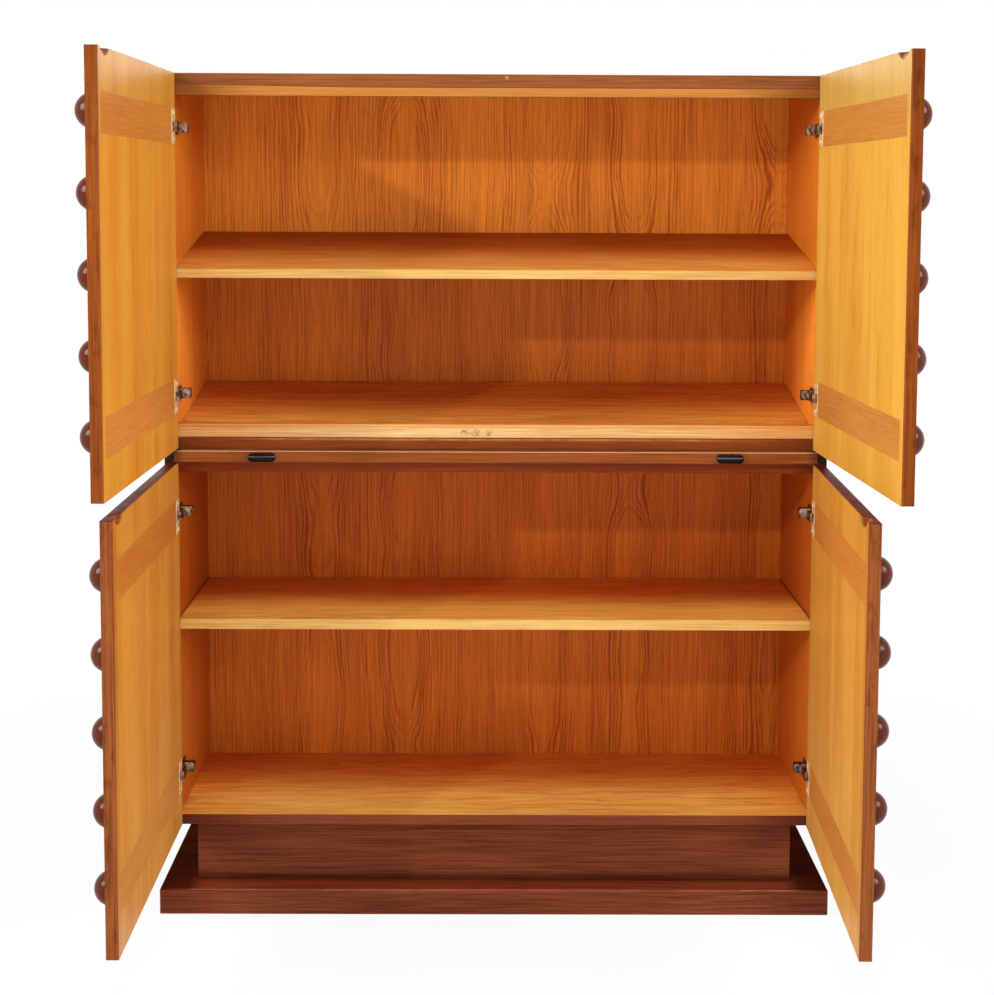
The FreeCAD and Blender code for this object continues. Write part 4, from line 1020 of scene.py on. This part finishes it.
def floor():
    """A pale ground that takes soft shadows near the cabinet and looks plain white further off."""
    material = bpy.data.materials.new("studio_floor")
    material.use_nodes = True
    material.node_tree.nodes.clear()
    t = Tree(material.node_tree)
    output = t.new("ShaderNodeOutputMaterial")
    seen = t.seen()
    point = t.object_point()
    far = t.step(t.vmath("LENGTH", point, output=1), 0.8, 1.7, 0.90, 1.0)
    matt = t.new("ShaderNodeBsdfDiffuse")
    mottle = t.patches(point, 3.0, detail=3.0)
    t.put(matt.inputs["Color"], t.mix(mottle, srgb(236, 235, 233), srgb(242, 241, 240)))
    glow = t.new("ShaderNodeEmission")
    glow.inputs["Color"].default_value = WHITE
    blend = t.new("ShaderNodeMixShader")
    t.put(blend.inputs[0], t.times(seen, far))
    t.put(blend.inputs[1], matt.outputs[0])
    t.put(blend.inputs[2], glow.outputs[0])
    t.put(output.inputs["Surface"], blend.outputs[0])
    mesh = bpy.data.meshes.new("studio_floor")
    corners = [(x * FLOOR_HALF, y * FLOOR_HALF, FLOOR_LEVEL)
               for x, y in ((-1.0, -1.0), (1.0, -1.0), (1.0, 1.0), (-1.0, 1.0))]
    mesh.from_pydata(corners, [], [(0, 1, 2, 3)])
    mesh.materials.append(material)
    plane = bpy.data.objects.new("studio_floor", mesh)
    bpy.context.scene.collection.objects.link(plane)


def world():
    """A weak even light, seen as plain white."""
    scene_world = bpy.data.worlds.new("studio")
    bpy.context.scene.world = scene_world
    scene_world.use_nodes = True
    scene_world.node_tree.nodes.clear()
    t = Tree(scene_world.node_tree)
    output = t.new("ShaderNodeOutputWorld")
    blend = t.new("ShaderNodeMixShader")
    t.put(blend.inputs[0], t.seen())
    for socket, strength in ((1, SKY_LIGHT), (2, 1.0)):
        sky = t.new("ShaderNodeBackground")
        sky.inputs["Color"].default_value = WHITE
        sky.inputs["Strength"].default_value = strength
        t.put(blend.inputs[socket], sky.outputs[0])
    t.put(output.inputs["Surface"], blend.outputs[0])


def lamp(name, place, target, size, watts, colour=(1.0, 1.0, 1.0)):
    light = bpy.data.lights.new(name, "AREA")
    light.shape = "DISK"
    light.size = size
    light.energy = watts
    light.color = colour
    holder = bpy.data.objects.new(name, light)
    holder.location = place
    holder.rotation_euler = (Vector(target) - Vector(place)).to_track_quat("-Z", "Y").to_euler()
    bpy.context.scene.collection.objects.link(holder)


CAMERA_PLACE = (-0.0151, -3.1425, 1.2031)
CAMERA_TURN = (0.309, 5.03, 0.249)  # to the right, downward and round the line of sight, in degrees


def camera():
    """The photograph's own view: a camera that looks slightly down, with its lens shifted."""
    yaw, pitch, roll = (math.radians(a) for a in CAMERA_TURN)
    ahead = Vector((math.sin(yaw) * math.cos(pitch), math.cos(yaw) * math.cos(pitch),
                    -math.sin(pitch)))
    level = Vector((math.cos(yaw), -math.sin(yaw), 0.0))
    upright = level.cross(ahead)
    right = math.cos(roll) * level + math.sin(roll) * upright
    above = -math.sin(roll) * level + math.cos(roll) * upright
    data = bpy.data.cameras.new("photo_view")
    data.sensor_fit = "HORIZONTAL"
    data.sensor_width = 36.0
    data.lens = 65.575
    data.shift_x = 0.0
    data.shift_y = -0.1428
    data.clip_end = 60.0
    holder = bpy.data.objects.new("photo_view", data)
    turn = Matrix((right, above, -ahead)).transposed().to_4x4()
    holder.matrix_world = Matrix.Translation(CAMERA_PLACE) @ turn
    bpy.context.scene.collection.objects.link(holder)
    bpy.context.scene.camera = holder


floor()
world()
camera()
# Name, place, aim, width in metres, watts and colour.
lamp("overhead_softbox", (0.0, -2.5, 4.4), (0.0, 0.0, 0.6), 1.7, 78.0)
lamp("left_key", (-2.35, -3.58, 2.35), (0.0, 0.0, 0.8), 0.12, 46.0, (1.0, 0.87, 0.70))
lamp("right_key", (3.1, -5.0, 2.7), (0.0, 0.0, 0.7), 1.6, 46.0)
lamp("left_softbox", (-3.6, -2.4, 2.6), (0.0, -0.4, 0.9), 2.0, 156.0)
lamp("right_softbox", (3.6, -2.4, 2.6), (0.0, -0.4, 0.9), 2.0, 128.0)
lamp("low_fill", (0.0, -3.6, 0.5), (0.0, 0.0, 1.2), 2.2, 29.0)
lamp("rear_fill", (0.0, 4.2, 2.4), (0.0, 0.0, 0.8), 2.5, 60.0)
bpy.context.scene.view_settings.view_transform = "Standard"
